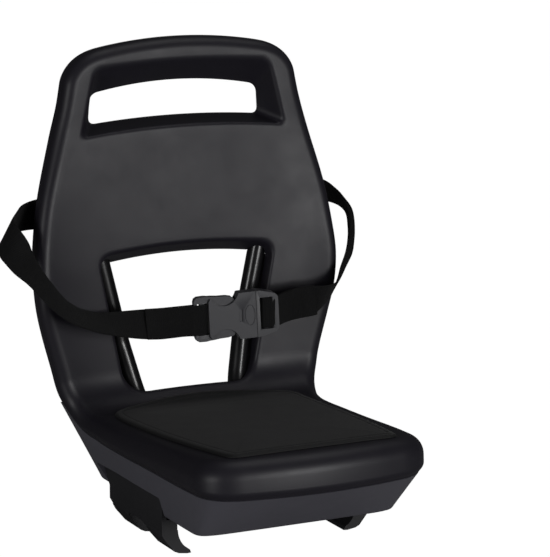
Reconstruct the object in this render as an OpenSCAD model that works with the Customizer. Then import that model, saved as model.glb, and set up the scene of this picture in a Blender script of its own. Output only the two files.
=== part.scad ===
// Rear child seat for a bicycle luggage carrier.
// Millimetres, +Z up, the child faces -Y. The origin lies on the tray's underside, where it rests on the
// carrier, on the middle plane and near the middle of the tray's length.

/* [Seat] */
// Distance from the front edge of the seat to the start of the bend into the backrest
seat_len = 215.5; // [195:0.5:235]
// Height of the seat face above the carrier at the front edge
seat_front_z = 68.5; // [62:0.5:76]
// Angle by which the seat face falls towards the backrest
seat_tilt = 3.9; // [0:0.1:7]
// Radius of the bend between the seat and the backrest
bend_r = 30; // [24:1:36]
// Wall of the moulded shell
shell_wall = 3.2; // [2.6:0.1:4]
// Width factor of the whole shell across the seat and the backrest
shell_spread = 1; // [0.96:0.01:1.06]
// Thickness of the seat pad
pad_t = 1.8; // [1.2:0.1:3]

/* [Backrest] */
// Angle by which the backrest leans back
recline = 1.8; // [0:0.1:8]
// Height of the backrest's top edge above the end of the bend
back_len = 265; // [250:1:290]
// Sag of the arched top edge from its middle to its corners
top_arch = 6; // [3:0.5:10]

/* [Openings] */
// Half width of the hand slot at its lower edge
slot_hw = 88.5; // [80:0.5:90]
// Height of the hand slot at the front
slot_h = 54; // [48:1:58]
// Height of the hand slot where it breaks through the back
slot_rear_h = 23; // [18:1:28]
// Depth of the funnels behind the face
funnel_depth = 21; // [17:1:24]
// Height of the lower opening above the end of the bend
window_h = 95; // [85:1:100]
// Half width of the lower opening at its upper edge
window_hw = 78; // [72:0.5:82]
// Wall of the funnels around both openings
funnel_wall = 3; // [2.4:0.1:3.6]

/* [Base tray] */
// Wall of the tray
tray_wall = 3; // [2.4:0.1:4]
// Length of the tray's flat underside
tray_len = 183; // [176:1:190]
// Half width of the tray's flat underside
tray_hw = 85; // [82:0.5:88]
// Gap of the parting line between the shell and the tray
parting = 0.8; // [0.4:0.1:1.2]

/* [Frame tube] */
// Outer diameter of the frame tube
tube_d = 15; // [12:0.5:16]
// Wall of the frame tube
tube_wall = 1.2; // [1:0.1:2]
// Height of the tube's axis above the carrier where it runs under the seat
tube_z = 21; // [20:0.5:24]
// Height of the tube's cross bar behind the backrest
crossbar_z = 254; // [250:1:256]

/* [Hooks] */
// Half width between the outer faces of the two hook plates
hook_hw = 86.5; // [85.5:0.5:92]
// Thickness of a hook plate
plate_t = 4; // [3:0.5:5]
// Length of each claw along the carrier rail
claw_len = 32; // [26:1:34]
// Distance from one claw to the next along the rail
claw_pitch = 64; // [58:1:68]
// Depth of the claw tips below the carrier rest
claw_drop = 31; // [28:0.5:34]
// Distance by which the sliding hooks stand open
jaw_open = 8; // [0:1:16]
// Radius of the clamp screw
clamp_r = 3; // [2.5:0.5:3]
// Radius of the clamp knob
knob_r = 15; // [12:0.5:17]

/* [Belt] */
// Width of the webbing
web_w = 25; // [22:1:28]
// Thickness of the webbing
web_t = 1.4; // [1.2:0.1:1.8]

/* [Buckle] */
// Length of the socket half
socket_len = 58; // [54:1:62]
// Half width of the socket half at its shoulders
socket_hw = 18; // [17:0.5:19]
// Thickness of the socket half
socket_t = 10.5; // [9.5:0.5:12]

/* [Hidden] */
$fn = 40;
mesh_fn = 20;
fit = 0.3;

// Path of the shell's face on the middle plane: seat line, bend, back line
bend_turn = 90 - recline + seat_tilt;
bend_run = bend_r * bend_turn * PI / 180;
face_run = seat_len + bend_run + back_len;
face_y0 = -133.5;
bend_start = [face_y0 + seat_len * cos(seat_tilt), seat_front_z - seat_len * sin(seat_tilt)];
bend_centre = bend_start + bend_r * [sin(seat_tilt), cos(seat_tilt)];
bend_end = bend_centre + bend_r * [cos(recline), -sin(recline)];

// Heading of the face path at run s, in degrees above the horizontal
function heading(s) =
    s < seat_len ? -seat_tilt :
    s < seat_len + bend_run ? (s - seat_len) / bend_r * 180 / PI - seat_tilt : 90 - recline;
// Point [y, z] of the face path at run s
function face_yz(s) =
    s < seat_len ? [face_y0 + s * cos(seat_tilt), seat_front_z - s * sin(seat_tilt)] :
    s < seat_len + bend_run ? bend_centre + bend_r * [sin(heading(s)), -cos(heading(s))] :
    bend_end + (s - seat_len - bend_run) * [sin(recline), cos(recline)];
// Unit vector [y, z] away from the child at run s
function away(s) = [sin(heading(s)), -cos(heading(s))];
// Run of the back line at height z
function run_at(z) = seat_len + bend_run + (z - bend_end[1]) / cos(recline);
// Y of the face on the middle plane at height z of the back line
function face_y(z) = bend_end[0] + (z - bend_end[1]) * tan(recline);

// Stations along the shell: part of the run, half width, forward bow of the rim, rim radius, rim depth and the
// tuck of the rim's lower edge. The first table lies on the seat and the bend, the second on the backrest.
SEAT_STATIONS = [
    [0, 96.5, -2, 15, 29.5, 3.5], [0.17, 96.5, -2, 14, 26.3, 3.5], [0.28, 98, -2, 13.5, 24.6, 3.5],
    [0.52, 99.5, -2, 13, 21, 3.5], [0.71, 101, -1.5, 13, 18.8, 3.5], [0.9, 101.5, 0, 12.5, 17.4, 3.5],
    [1, 103.5, 3, 12, 16.2, 3], [1.095, 109, 7, 12, 15, 1.5], [1.165, 114.5, 10, 12, 15, 0.5]];
BACK_STATIONS = [
    [0.02, 118.5, 11, 12, 16, 0], [0.125, 126, 12, 11.5, 16, 0], [0.21, 131, 13.5, 11, 16, 0],
    [0.305, 133, 13.5, 11, 16, 0], [0.39, 131.5, 10.5, 10.5, 16, 0], [0.53, 125.2, 6.5, 10, 16, 0],
    [0.715, 111.8, 2, 10, 16, 0], [0.825, 104, 2, 10, 16, 0], [1, 96, 2, 10, 17, 0]];
STATIONS = concat(
    [for (row = SEAT_STATIONS) [row[0] * seat_len, row[1] * shell_spread, row[2], row[3], row[4], row[5]]],
    [for (row = BACK_STATIONS) [seat_len + bend_run + row[0] * back_len, row[1] * shell_spread,
        row[2], row[3], row[4], row[5]]]);
HALF_W = 1;
BOW = 2;
RIM_R = 3;
RIM_DEPTH = 4;
TUCK = 5;

// Index of the station before run s
function before(s, i = 0) = (i >= len(STATIONS) - 2 || s < STATIONS[i + 1][0]) ? i : before(s, i + 1);
// Slope of column c at station i
function slope(i, c) =
    let (a = STATIONS[max(i - 1, 0)], b = STATIONS[min(i + 1, len(STATIONS) - 1)]) (b[c] - a[c]) / (b[0] - a[0]);
// Smooth value of column c at run s
function at(s, c) =
    let (i = before(s), a = STATIONS[i], b = STATIONS[i + 1], h = b[0] - a[0])
    let (t = max(0, min(1, (s - a[0]) / h)))
    (2 * t ^ 3 - 3 * t ^ 2 + 1) * a[c] + (t ^ 3 - 2 * t ^ 2 + t) * h * slope(i, c)
    + (3 * t ^ 2 - 2 * t ^ 3) * b[c] + (t ^ 3 - t ^ 2) * h * slope(i + 1, c);

// Point of space at width x, run s and depth n behind the face
function shell_point(x, s, n) =
    let (m = n - at(s, BOW) * pow(min(1, abs(x) / at(s, HALF_W)), 3), f = face_yz(s) + m * away(s)) [x, f[0], f[1]];

// Points of a quadratic curve from a to c, drawn towards b, without its end points
function curve(a, b, c, count) =
    [for (i = [1:count]) let (t = i / (count + 1)) (1 - t) ^ 2 * a + 2 * t * (1 - t) * b + t ^ 2 * c];

// Right half of the shell's outline in the flattened face, [x, run], from the front middle to the top middle
front_hw = 96.5 * shell_spread;
top_hw = 98.5 * shell_spread;
top_flat = 68 * shell_spread;
HALF_OUTLINE = concat(
    [for (x = [3, 22, 42, 62]) [x, 7.6 * (x / 70) ^ 2]],
    curve([62, 6], [front_hw - 1.5, 10.5], [front_hw, 38], 4),
    [for (s = [38:14.5:face_run - 30]) [at(s, HALF_W), s]],
    curve([at(face_run - 30, HALF_W), face_run - 30], [top_hw - 5, face_run - top_arch * 1.7],
        [top_flat, face_run - top_arch], 5),
    [for (x = [68, 46, 23, 3]) [x * shell_spread, face_run - top_arch * (x / 68) ^ 2]]);
rows = len(HALF_OUTLINE);

// Unit vector from outline point i into the face
function inward(i) =
    let (a = HALF_OUTLINE[max(i - 1, 0)], b = HALF_OUTLINE[min(i + 1, rows - 1)], d = (b - a) / norm(b - a))
    (i == 0 ? [0, 1] : i == rows - 1 ? [0, -1] : [-d[1], d[0]]);

// Depth of the rim's lower edge at width x and run s: its height does not follow the bow
function edge_depth(x, s) = at(s, RIM_DEPTH) - at(s, BOW) * (1 - pow(min(1, abs(x) / at(s, HALF_W)), 3));
// Profile of the rim at outline point i for a skin that lies t inside the outer one: [inset, depth]
rim_steps = 5;
function rim_profile(i, t) =
    let (s = HALF_OUTLINE[i][1], r = at(s, RIM_R), depth = edge_depth(HALF_OUTLINE[i][0], s), tuck = at(s, TUCK))
    concat([[t + tuck, depth], [t + tuck * 0.15, depth - max(1, tuck * 2 - 1)]],
        [for (k = [1:rim_steps]) let (a = 90 * k / rim_steps)
        [r - (r - t) * cos(a), r - (r - t) * sin(a)]]);

// Loop k of the rim round the whole outline, right side then left side
function rim_loop(k, t) =
    let (right = [for (i = [0:rows - 1]) let (p = rim_profile(i, t)[k], q = HALF_OUTLINE[i] + p[0] * inward(i))
        shell_point(q[0], q[1], p[1])])
    concat(right, [for (i = [rows - 1:-1:0]) [-right[i][0], right[i][1], right[i][2]]]);

// Inner points of the face between the two ends of row i, none in the first and the last row
columns = 7;
function face_row(i, t) =
    let (p = rim_profile(i, t)[loops_n - 1], q = HALF_OUTLINE[i] + p[0] * inward(i))
    (i == 0 || i == rows - 1) ? [] :
    [for (c = [1:columns]) shell_point(q[0] * (1 - 2 * c / (columns + 1)), q[1], t)];

// Points of one skin: all rim loops, then the face rows
loop_n = 2 * rows;
loops_n = rim_steps + 2;
function skin_points(t) =
    concat([for (k = [0:loops_n - 1]) each rim_loop(k, t)], [for (i = [0:rows - 1]) each face_row(i, t)]);
skin_n = loops_n * loop_n + (rows - 2) * columns;

// Index of column c in row i of the face, where columns 0 and columns + 1 are the ends of the last loop
function face_index(i, c) =
    c == 0 ? (loops_n - 1) * loop_n + i :
    c == columns + 1 ? (loops_n - 1) * loop_n + loop_n - 1 - i :
    loops_n * loop_n + (i - 1) * columns + c - 1;

// Two triangles for the four corners a, b, c, d
function two(a, b, c, d) = [[a, b, c], [a, c, d]];
function turned(faces) = [for (f = faces) [f[2], f[1], f[0]]];
function shifted(faces, by) = [for (f = faces) [for (v = f) v + by]];
SKIN_FACES = concat(
    [for (k = [0:loops_n - 2]) for (j = [0:loop_n - 1]) let (m = (j + 1) % loop_n)
        each two(k * loop_n + j, k * loop_n + m, (k + 1) * loop_n + m, (k + 1) * loop_n + j)],
    [for (c = [0:columns]) [face_index(0, 0), face_index(1, c), face_index(1, c + 1)]],
    [[face_index(0, 0), face_index(1, columns + 1), face_index(0, columns + 1)]],
    [for (i = [1:rows - 3]) for (c = [0:columns])
        each two(face_index(i, c), face_index(i + 1, c), face_index(i + 1, c + 1), face_index(i, c + 1))],
    [for (c = [0:columns]) [face_index(rows - 2, c), face_index(rows - 1, 0), face_index(rows - 2, c + 1)]],
    [[face_index(rows - 2, columns + 1), face_index(rows - 1, 0), face_index(rows - 1, columns + 1)]]);

module shell_skin() {
    outer = skin_points(0);
    inner = skin_points(shell_wall);
    rim = [for (j = [0:loop_n - 1]) let (m = (j + 1) % loop_n) each two(j, j + skin_n, m + skin_n, m)];
    polyhedron(points = concat(outer, inner),
        faces = concat(turned(SKIN_FACES), shifted(SKIN_FACES, skin_n), turned(rim)), convexity = 10);
}

// Closed outline of an opening as [x, z] points: arched top and bottom edges, rounded corners.
// half = [top half width, bottom half width], z = [top corner, bottom corner], arch = [top, bottom], r = radii
function opening(half, z, arch, r) =
    let (side = (z[0] - z[1]), lean = (half[1] - half[0]) / side)
    let (top = [for (t = [0, 0.5, 1]) let (x = -t * (half[0] - r[0])) [x, z[0] + arch[0] * (1 - (x / half[0]) ^ 2)]],
        top_end = [-half[0] - lean * r[0], z[0] - r[0]],
        low_start = [-half[1] + lean * r[1], z[1] + r[1]],
        low = [for (t = [1, 0.5]) let (x = -t * (half[1] - r[1])) [x, z[1] + arch[1] * (1 - (x / half[1]) ^ 2)]])
    let (left = concat(top, curve(top[2], [-half[0], z[0]], top_end, 3), [top_end, low_start],
        curve(low_start, [-half[1], z[1]], low[0], 3), low, [[0, z[1] + arch[1]]]))
    concat(left, [for (i = [len(left) - 2:-1:1]) [-left[i][0], left[i][1]]]);

// Solid between outline a at depth ya and outline b at depth yb
module loft(a, ya, b, yb) {
    n = len(a);
    points = concat([for (p = a) [p[0], ya, p[1]]], [for (p = b) [p[0], yb, p[1]]]);
    sides = [for (i = [0:n - 1]) let (j = (i + 1) % n) each two(i, j, j + n, i + n)];
    caps = [[for (i = [n - 1:-1:0]) i], [for (i = [0:n - 1]) i + n]];
    polyhedron(points = points, faces = concat(sides, caps), convexity = 6);
}
// Outline at depth y on the straight line through outlines a at ya and b at yb
function between(a, ya, b, yb, y) = [for (i = [0:len(a) - 1]) a[i] + (b[i] - a[i]) * (y - ya) / (yb - ya)];

// Hand slot: its front outline lies on the face, its rear one funnel_depth behind
slot_top = bend_end[1] + back_len * cos(recline) - 21;
slot_y = face_y(slot_top - slot_h / 2);
function slot_front(g) = opening([slot_hw - 12.5 + g, slot_hw + g], [slot_top + g, slot_top - slot_h - g],
    [4.5, 5], [9, 7]);
slot_rear_top = slot_top - 24;
function slot_rear(g) = opening([slot_hw - 15.5 + g, slot_hw - 14.5 + g],
    [slot_rear_top + g, slot_rear_top - slot_rear_h - g], [8, 3.7], [7, 6]);

// Lower opening: the tube frame shows through it
window_low = bend_end[1] - 19;
window_top = bend_end[1] + window_h;
window_y = face_y((window_low + window_top) / 2) - 2;
function window_front(g) = opening([window_hw + g, window_hw - 22 + g], [window_top + g, window_low - g],
    [6.5, 1], [14, 20]);
function window_rear(g) = opening([window_hw - 2 + g, window_hw - 24 + g], [window_top - 13 + g, window_low - g],
    [6.5, 1], [13, 19]);

module funnel(front, rear, y, from, to) {
    loft(between(front, y, rear, y + funnel_depth, from), from, between(front, y, rear, y + funnel_depth, to), to);
}

// Frame tube, right leg: cross bar middle, corners and the front end under the seat
tube_r = tube_d / 2;
tube_sides = 22;
// Clear radius inside the tube, to the flats of its bore
bore_r = (tube_r - tube_wall) * cos(180 / tube_sides) - 0.03;
leg_slope = [0.227, 0.046];
TUBE_KNEE = [69, 131, 166];
TUBE_CORNER = [TUBE_KNEE[0] + leg_slope[0] * (crossbar_z - TUBE_KNEE[2]),
    TUBE_KNEE[1] + leg_slope[1] * (crossbar_z - TUBE_KNEE[2]), crossbar_z];
TUBE_PATH = [[0, TUBE_CORNER[1], crossbar_z], TUBE_CORNER, TUBE_KNEE, [54.3, 128.5, 102], [45.6, 119.8, 64],
    [36, 98.5, tube_z], [36, -62, tube_z]];
TUBE_BENDS = [0, 28, 90, 60, 60, 33, 0];

function unit(v) = v / norm(v);
// Point p on the side given as -1 or 1
function on_side(side, p) = [side * p[0], p[1], p[2]];
// Turn of the tube at path point i and the length that its bend takes from each side
function turn(p, i) = acos(max(-1, min(1, unit(p[i] - p[i - 1]) * unit(p[i + 1] - p[i]))));
function bend_take(p, b, i) = (i == 0 || i == len(p) - 1) ? 0 : b[i] * tan(turn(p, i) / 2);

module along(at, x_dir, y_dir, z_dir) {
    multmatrix([[x_dir[0], y_dir[0], z_dir[0], at[0]], [x_dir[1], y_dir[1], z_dir[1], at[1]],
        [x_dir[2], y_dir[2], z_dir[2], at[2]], [0, 0, 0, 1]]) children();
}
// Stations [point, direction] of the bend at point i of path p
function bend_line(p, b, i) =
    let (before = unit(p[i] - p[i - 1]), after = unit(p[i + 1] - p[i]), angle = turn(p, i), r = b[i])
    let (side = unit(after - before * (after * before)), start = p[i] - before * bend_take(p, b, i),
        steps = ceil(angle / 15))
    [for (k = [0:steps]) let (t = angle * k / steps)
        [start + side * r * (1 - cos(t)) + before * r * sin(t), before * cos(t) + side * sin(t)]];
function tube_line(p, b) =
    let (n = len(p)) concat([[p[0], unit(p[1] - p[0])]], [for (i = [1:n - 2]) each bend_line(p, b, i)],
        [[p[n - 1], unit(p[n - 1] - p[n - 2])]]);
// Directions across the line, each turned as little as possible from the one before
function across(line) =
    [for (i = 0, f = unit(cross(line[0][1], [0, 0, 1])); i < len(line);
        i = i + 1, f = i < len(line) ? unit(f - line[i][1] * (f * line[i][1])) : f) f];
// Hollow tube along a line of stations
module bent_tube(line, r, wall, sides = tube_sides) {
    f = across(line);
    n = len(line);
    function skin(q) = [for (i = [0:n - 1]) for (k = [0:sides - 1]) let (a = 360 * k / sides)
        line[i][0] + q * (cos(a) * f[i] + sin(a) * cross(line[i][1], f[i]))];
    inner = n * sides;
    last = inner - sides;
    hull_faces = [for (i = [0:n - 2]) for (k = [0:sides - 1]) let (m = (k + 1) % sides)
        each two(i * sides + k, i * sides + m, (i + 1) * sides + m, (i + 1) * sides + k)];
    ends = [for (k = [0:sides - 1]) let (m = (k + 1) % sides)
        each concat(two(k, k + inner, m + inner, m), two(last + m, last + m + inner, last + k + inner, last + k))];
    polyhedron(points = concat(skin(r), skin(r - wall)),
        faces = concat(turned(hull_faces), shifted(hull_faces, inner), turned(ends)), convexity = 10);
}

// Places: saddles, screws, arms and clamp
back_saddle_x = 45;
base_saddle_ys = [-50, 67];
base_tube_x = TUBE_PATH[6][0];
saddle_w = 16;
saddle_t = 2.2;
saddle_hole = 14.5;
screw_r = 2;
boss_r = 4.5;
shell_screw_r = 2.5;
SHELL_SCREWS = [[66, -71], [66, 78]];
shell_boss_z = 12;
arm_z = tray_wall + fit;
arm_t = 6;
arm_w = 16;
arm_in = 30;
claw_front = -24.5;
ARM_YS = [claw_front + 8, claw_front + 66];
clamp_y = (ARM_YS[0] + ARM_YS[1] + arm_w) / 2;
clamp_z = tube_z - tube_r - 0.8 - clamp_r;
nut_x = 52;
nut_t = 5;
nut_af = 10;
keeper_x = 68;
keeper_w = 12;
keeper_t = 1.6;

// Solid cylinder from point a to point b
module rod(a, b, r) {
    z_dir = unit(b - a);
    x_dir = unit(cross(abs(z_dir[0]) > 0.9 ? [0, 1, 0] : [1, 0, 0], z_dir));
    along(a, x_dir, cross(z_dir, x_dir), z_dir) cylinder(r = r, h = norm(b - a));
}

// Rounded rib of the shell's back between two [x, z] points
rib_y = face_y(220) + shell_wall - 0.6;
module rib(a, b) {
    hull() {
        for (p = [a, b]) translate([p[0], face_y(p[1]) + 1, p[1]]) rotate([-90, 0, 0])
            cylinder(r1 = 1.3, r2 = 0.9, h = shell_wall + 1.6, $fn = 8);
    }
}

module seat_shell() {
    color([0.055, 0.055, 0.07]) difference() {
        union() {
            shell_skin();
            intersection() {
                union() {
                    funnel(slot_front(funnel_wall), slot_rear(funnel_wall), slot_y, slot_y + 1,
                        slot_y + funnel_depth);
                    difference() {
                        funnel(window_front(funnel_wall), window_rear(funnel_wall), window_y,
                            window_y + 3, window_y + funnel_depth);
                        translate([-100, 90, window_low - 20]) cube([200, 80, 24]);
                    }
                }
                translate([-100, face_y(0), 0]) cube([200, 80, 400]);
            }
            for (z = [192, 230, 243, 256]) rib([-84, z], [84, z]);
            for (x = [-60, -22, 22, 60]) rib([x, window_top + 12], [x, slot_top - slot_h - 8]);
            for (side = [-1, 1]) {
                for (dz = [-saddle_hole, saddle_hole])
                    translate([side * back_saddle_x, face_y(crossbar_z) + 1, crossbar_z + dz]) rotate([-90, 0, 0])
                        cylinder(r = boss_r, h = TUBE_CORNER[1] - face_y(crossbar_z) - 1, $fn = mesh_fn);
                for (p = SHELL_SCREWS) translate([side * p[0], p[1], shell_boss_z])
                    cylinder(r = boss_r, h = seat_z(p[1]) - shell_boss_z - 2, $fn = mesh_fn);
            }
        }
        funnel(slot_front(0), slot_rear(0), slot_y, slot_y - 12, slot_y + funnel_depth + 10);
        funnel(window_front(0), window_rear(0), window_y, window_y - 16, window_y + funnel_depth + 10);
        for (side = [-1, 1]) {
            for (i = [2:4]) rod(on_side(side, TUBE_PATH[i + 1]), on_side(side, TUBE_PATH[i]), tube_r + 0.8, $fn = mesh_fn);
            rod(on_side(side, TUBE_KNEE - [leg_slope[0], leg_slope[1], 1] * 8),
                on_side(side, TUBE_KNEE + [leg_slope[0], leg_slope[1], 1] * 30), tube_r + 0.8, $fn = mesh_fn);
            for (dz = [-saddle_hole, saddle_hole])
                translate([side * back_saddle_x, face_y(crossbar_z) + shell_wall, crossbar_z + dz])
                    rotate([-90, 0, 0]) cylinder(r = screw_r + 0.1, h = 30, $fn = mesh_fn);
            for (p = SHELL_SCREWS) translate([side * p[0], p[1], shell_boss_z - 1])
                cylinder(r = shell_screw_r + 0.1, h = 17, $fn = mesh_fn);
        }
    }
}
// Height of the seat face at depth y
function seat_z(y) = seat_front_z - (y - face_y0) * tan(seat_tilt);

// Right half of the pad's outline in the flattened face, [x, run]
PAD_RUN = [18, 208];
PAD_HALF = concat(
    [[4, PAD_RUN[0]], [34, PAD_RUN[0] + 0.3], [62, PAD_RUN[0] + 1]],
    curve([62, PAD_RUN[0] + 1], [69.5, PAD_RUN[0] + 0.5], [71, PAD_RUN[0] + 8], 3),
    curve([71, PAD_RUN[0] + 8], [83, 100], [82.5, PAD_RUN[1] - 6], 7),
    curve([82.5, PAD_RUN[1] - 6], [82.5, PAD_RUN[1] + 9], [72, PAD_RUN[1] + 14], 4),
    curve([72, PAD_RUN[1] + 14], [42, PAD_RUN[1] + 27], [4, PAD_RUN[1] + 27.5], 4),
    [[4, PAD_RUN[1] + 27.5]]);
module seat_pad() {
    n = len(PAD_HALF);
    cols = 8;
    function level(h) = [for (p = PAD_HALF) for (c = [0:cols])
        shell_point(p[0] * (1 - 2 * c / cols), p[1], -h - max(0, p[1] - seat_len + 9) * 0.065)];
    function id(i, c) = i * (cols + 1) + c;
    under = n * (cols + 1);
    top = [for (i = [0:n - 2]) for (c = [0:cols - 1]) each two(id(i, c), id(i + 1, c), id(i + 1, c + 1), id(i, c + 1))];
    edge = concat([for (i = [0:n - 1]) id(i, 0)], [for (c = [1:cols]) id(n - 1, c)],
        [for (i = [n - 2:-1:0]) id(i, cols)], [for (c = [cols - 1:-1:1]) id(0, c)]);
    m = len(edge);
    wall = [for (i = [0:m - 1]) let (a = edge[i], b = edge[(i + 1) % m]) each two(a, a + under, b + under, b)];
    color([0.1, 0.095, 0.09]) polyhedron(points = concat(level(pad_t + fit), level(fit)),
        faces = concat(turned(top), shifted(top, under), turned(wall)), convexity = 4);
}

// Tray: its upper edge follows the shell's rim, its lower edge is the flat underside
tray_mid = 5.5;
tray_rear_top = [132, 57];
tray_end = 9 + floor((seat_len + bend_run * 0.5 - 38) / 14.5);
// Upper edge of the tray, right half, inset by d from the shell's side
function tray_top(d) = concat(
    [for (i = [0:tray_end]) let (q = HALF_OUTLINE[i] + (at(HALF_OUTLINE[i][1], TUCK) + 0.6 + d) * inward(i))
        shell_point(q[0], q[1], edge_depth(HALF_OUTLINE[i][0], q[1]) + parting)],
    [[107.5 - d, tray_rear_top[0] - 6 - d * 0.6, 59], [101 - d, tray_rear_top[0] - d, tray_rear_top[1]],
        [60, tray_rear_top[0] - d, tray_rear_top[1]], [4, tray_rear_top[0] - d, tray_rear_top[1]]]);
// Lower edge of the tray under point p of the upper edge, at height z
function tray_low(p, d, z) =
    let (y = lookup(p[1], [[-130, -86], [-124, -85.5], [-113.5, -82], [-92, -71], [-60, -45], [95, 78], [132, 97]]),
        x = lookup(p[0], [[0, 0], [60, 57], [70, 67.5], [85, 80], [92, 83.5], [96, 84.5], [112, 85]]))
    [x * (tray_hw - d) / 85, tray_mid + (y * tray_len / 183 - 0.05 - tray_mid) * (1 - 2 * d / tray_len), z];
function mirrored(h) = concat(h, [for (i = [len(h) - 1:-1:0]) [-h[i][0], h[i][1], h[i][2]]]);
// Ring of the tray at part k of the way from the underside to the upper edge
function tray_ring(d, k, floor_z) =
    let (top = tray_top(d), whole = tray_top(0))
    mirrored([for (i = [0:len(top) - 1]) let (low = tray_low(whole[i], d, floor_z)) low + (top[i] - low) * k]);

module tray_solid(d, floor_z) {
    rings = [tray_ring(d, 0, floor_z), tray_ring(d, d > 0 ? 1.06 : 1, floor_z)];
    n = len(rings[0]);
    points = concat(rings[0], rings[1]);
    sides = [for (j = [0:n - 1]) let (m = (j + 1) % n) each two(j, m, m + n, j + n)];
    half = n / 2;
    bottom = [for (i = [0:half - 2]) each two(i, i + 1, n - 2 - i, n - 1 - i)];
    top = [for (i = [0:half - 2]) each two(n + n - 1 - i, n + n - 2 - i, n + i + 1, n + i)];
    polyhedron(points = points, faces = concat(turned(sides), bottom, top), convexity = 6);
}
// Boss of the tray with the hole and head recess of a shell screw
module screw_boss(r, h) {
    hull() {
        cylinder(r = r, h = h, $fn = mesh_fn);
    }
}
module base_tray() {
    color([0.2, 0.2, 0.21]) difference() {
        union() {
            difference() {
                tray_solid(0, 0);
                tray_solid(tray_wall, tray_wall);
            }
            for (side = [-1, 1]) {
                for (p = SHELL_SCREWS) translate([side * p[0], p[1], 0.5]) screw_boss(8, shell_boss_z - 0.5);
                for (y = base_saddle_ys) cradle(side * base_tube_x, y);
            }
            for (y = ARM_YS) for (dy = [-2.6, arm_w + 2.6]) translate([keeper_x, y + dy, 1])
                screw_boss(2.2, arm_z + arm_t + fit - 1);
            nut_house();
            rear_deck();
        }
        for (side = [-1, 1]) {
            for (p = SHELL_SCREWS) translate([side * p[0], p[1], 0]) {
                translate([0, 0, -1]) cylinder(r = shell_screw_r + 0.3, h = 30, $fn = mesh_fn);
                translate([0, 0, -1]) cylinder(r = shell_screw_r * 1.9 + 0.4, h = 7, $fn = mesh_fn);
            }
            for (y = base_saddle_ys) for (dx = [-saddle_hole, saddle_hole])
                translate([side * base_tube_x + dx, y, tray_wall + 3]) cylinder(r = screw_r + 0.1, h = 30, $fn = mesh_fn);
            side_window(side);
        }
        for (y = ARM_YS) for (dy = [-2.6, arm_w + 2.6]) translate([keeper_x, y + dy, tray_wall + 1])
            cylinder(r = 1.35, h = 20, $fn = 12);
        for (y = ARM_YS) translate([-keeper_x, y + arm_w / 2, 1.2])
            cylinder(r = screw_r + 0.05, h = 6, $fn = mesh_fn);
    }
}
// Window in the tray's side that a hook plate closes
module side_window(side) {
    scale([side, 1, 1]) translate([tray_hw - 6, 0, 0]) rotate([90, 0, 90]) linear_extrude(40)
        polygon([[claw_front - 0.5, -3], [claw_front - 0.5, plate_top_z + 0.5], [PLATE_REAR[1] + 1, plate_top_z + 0.5],
            [PLATE_REAR[0] + 1, 0], [PLATE_REAR[0] + 1, -3]]);
}
// Block that the frame tube lies in
module cradle(x, y) {
    difference() {
        translate([x - saddle_hole - 5, y - saddle_w / 2, 1]) cube([2 * saddle_hole + 10, saddle_w, tube_z - 1]);
        translate([x, y + saddle_w, tube_z]) rotate([90, 0, 0]) cylinder(r = tube_r + 0.05, h = 2 * saddle_w);
    }
}
// Housing that keeps the clamp nut from turning
module nut_house() {
    difference() {
        translate([nut_x - 3, clamp_y - nut_af / 2 - 3, 1]) cube([nut_t + 6.5, nut_af + 6, clamp_z + 5]);
        translate([nut_x - 0.25, clamp_y - nut_af / 2 - 0.25, clamp_z - 8]) cube([nut_t + 0.5, nut_af + 0.5, 40]);
        translate([nut_x - 10, clamp_y, clamp_z]) rotate([0, 90, 0]) cylinder(r = clamp_r + 0.4, h = 40, $fn = mesh_fn);
    }
}
// Deck at the tray's rear edge, notched for the tube legs
module rear_deck() {
    difference() {
        translate([-98, 104, tray_rear_top[1] - 3]) cube([196, tray_rear_top[0] - 104 - 1, 3]);
        for (side = [-1, 1]) rod(on_side(side, (TUBE_PATH[5] + TUBE_PATH[4]) / 2),
            on_side(side, TUBE_PATH[4] * 1.3 - TUBE_PATH[5] * 0.3), tube_r + 1, $fn = mesh_fn);
    }
}

module frame_tube() {
    left = [for (i = [6:-1:1]) [-TUBE_PATH[i][0], TUBE_PATH[i][1], TUBE_PATH[i][2]]];
    path = concat(left, [for (i = [1:6]) TUBE_PATH[i]]);
    bends = concat([for (i = [6:-1:1]) TUBE_BENDS[i]], [for (i = [1:6]) TUBE_BENDS[i]]);
    color([0.03, 0.03, 0.035]) bent_tube(tube_line(path, bends), tube_r, tube_wall);
}
module tube_plugs() {
    color([0.08, 0.08, 0.08]) for (side = [-1, 1])
        translate([side * base_tube_x, TUBE_PATH[6][1], tube_z]) rotate([90, 0, 0]) {
            cylinder(r = tube_r, h = 2);
            translate([0, 0, -12]) cylinder(r = bore_r, h = 12);
        }
}

// Saddle over a tube that runs along X, seated on z = 0 with its tube axis at the origin
module saddle() {
    ring_r = tube_r + saddle_t;
    difference() {
        union() {
            translate([-saddle_w / 2, 0, 0]) rotate([90, 0, 90]) cylinder(r = ring_r, h = saddle_w);
            translate([-saddle_w / 2, -saddle_hole - 5, 0]) cube([saddle_w, 2 * saddle_hole + 10, saddle_t]);
        }
        translate([-saddle_w, 0, 0]) rotate([90, 0, 90]) cylinder(r = tube_r + 0.05, h = saddle_w * 2);
        translate([-saddle_w, -saddle_hole * 2, -saddle_w]) cube([saddle_w * 2, saddle_hole * 4, saddle_w]);
        for (y = [-saddle_hole, saddle_hole]) translate([0, y, -1]) cylinder(r = screw_r + 0.2, h = saddle_t + 2);
    }
}
module back_saddle(side) {
    color([0.09, 0.09, 0.095]) translate([side * back_saddle_x, TUBE_CORNER[1], crossbar_z]) rotate([-90, 0, 0]) saddle();
}
module base_saddle(side, y) {
    color([0.09, 0.09, 0.095]) translate([side * base_tube_x, y, tube_z]) rotate([0, 0, 90]) saddle();
}
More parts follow.
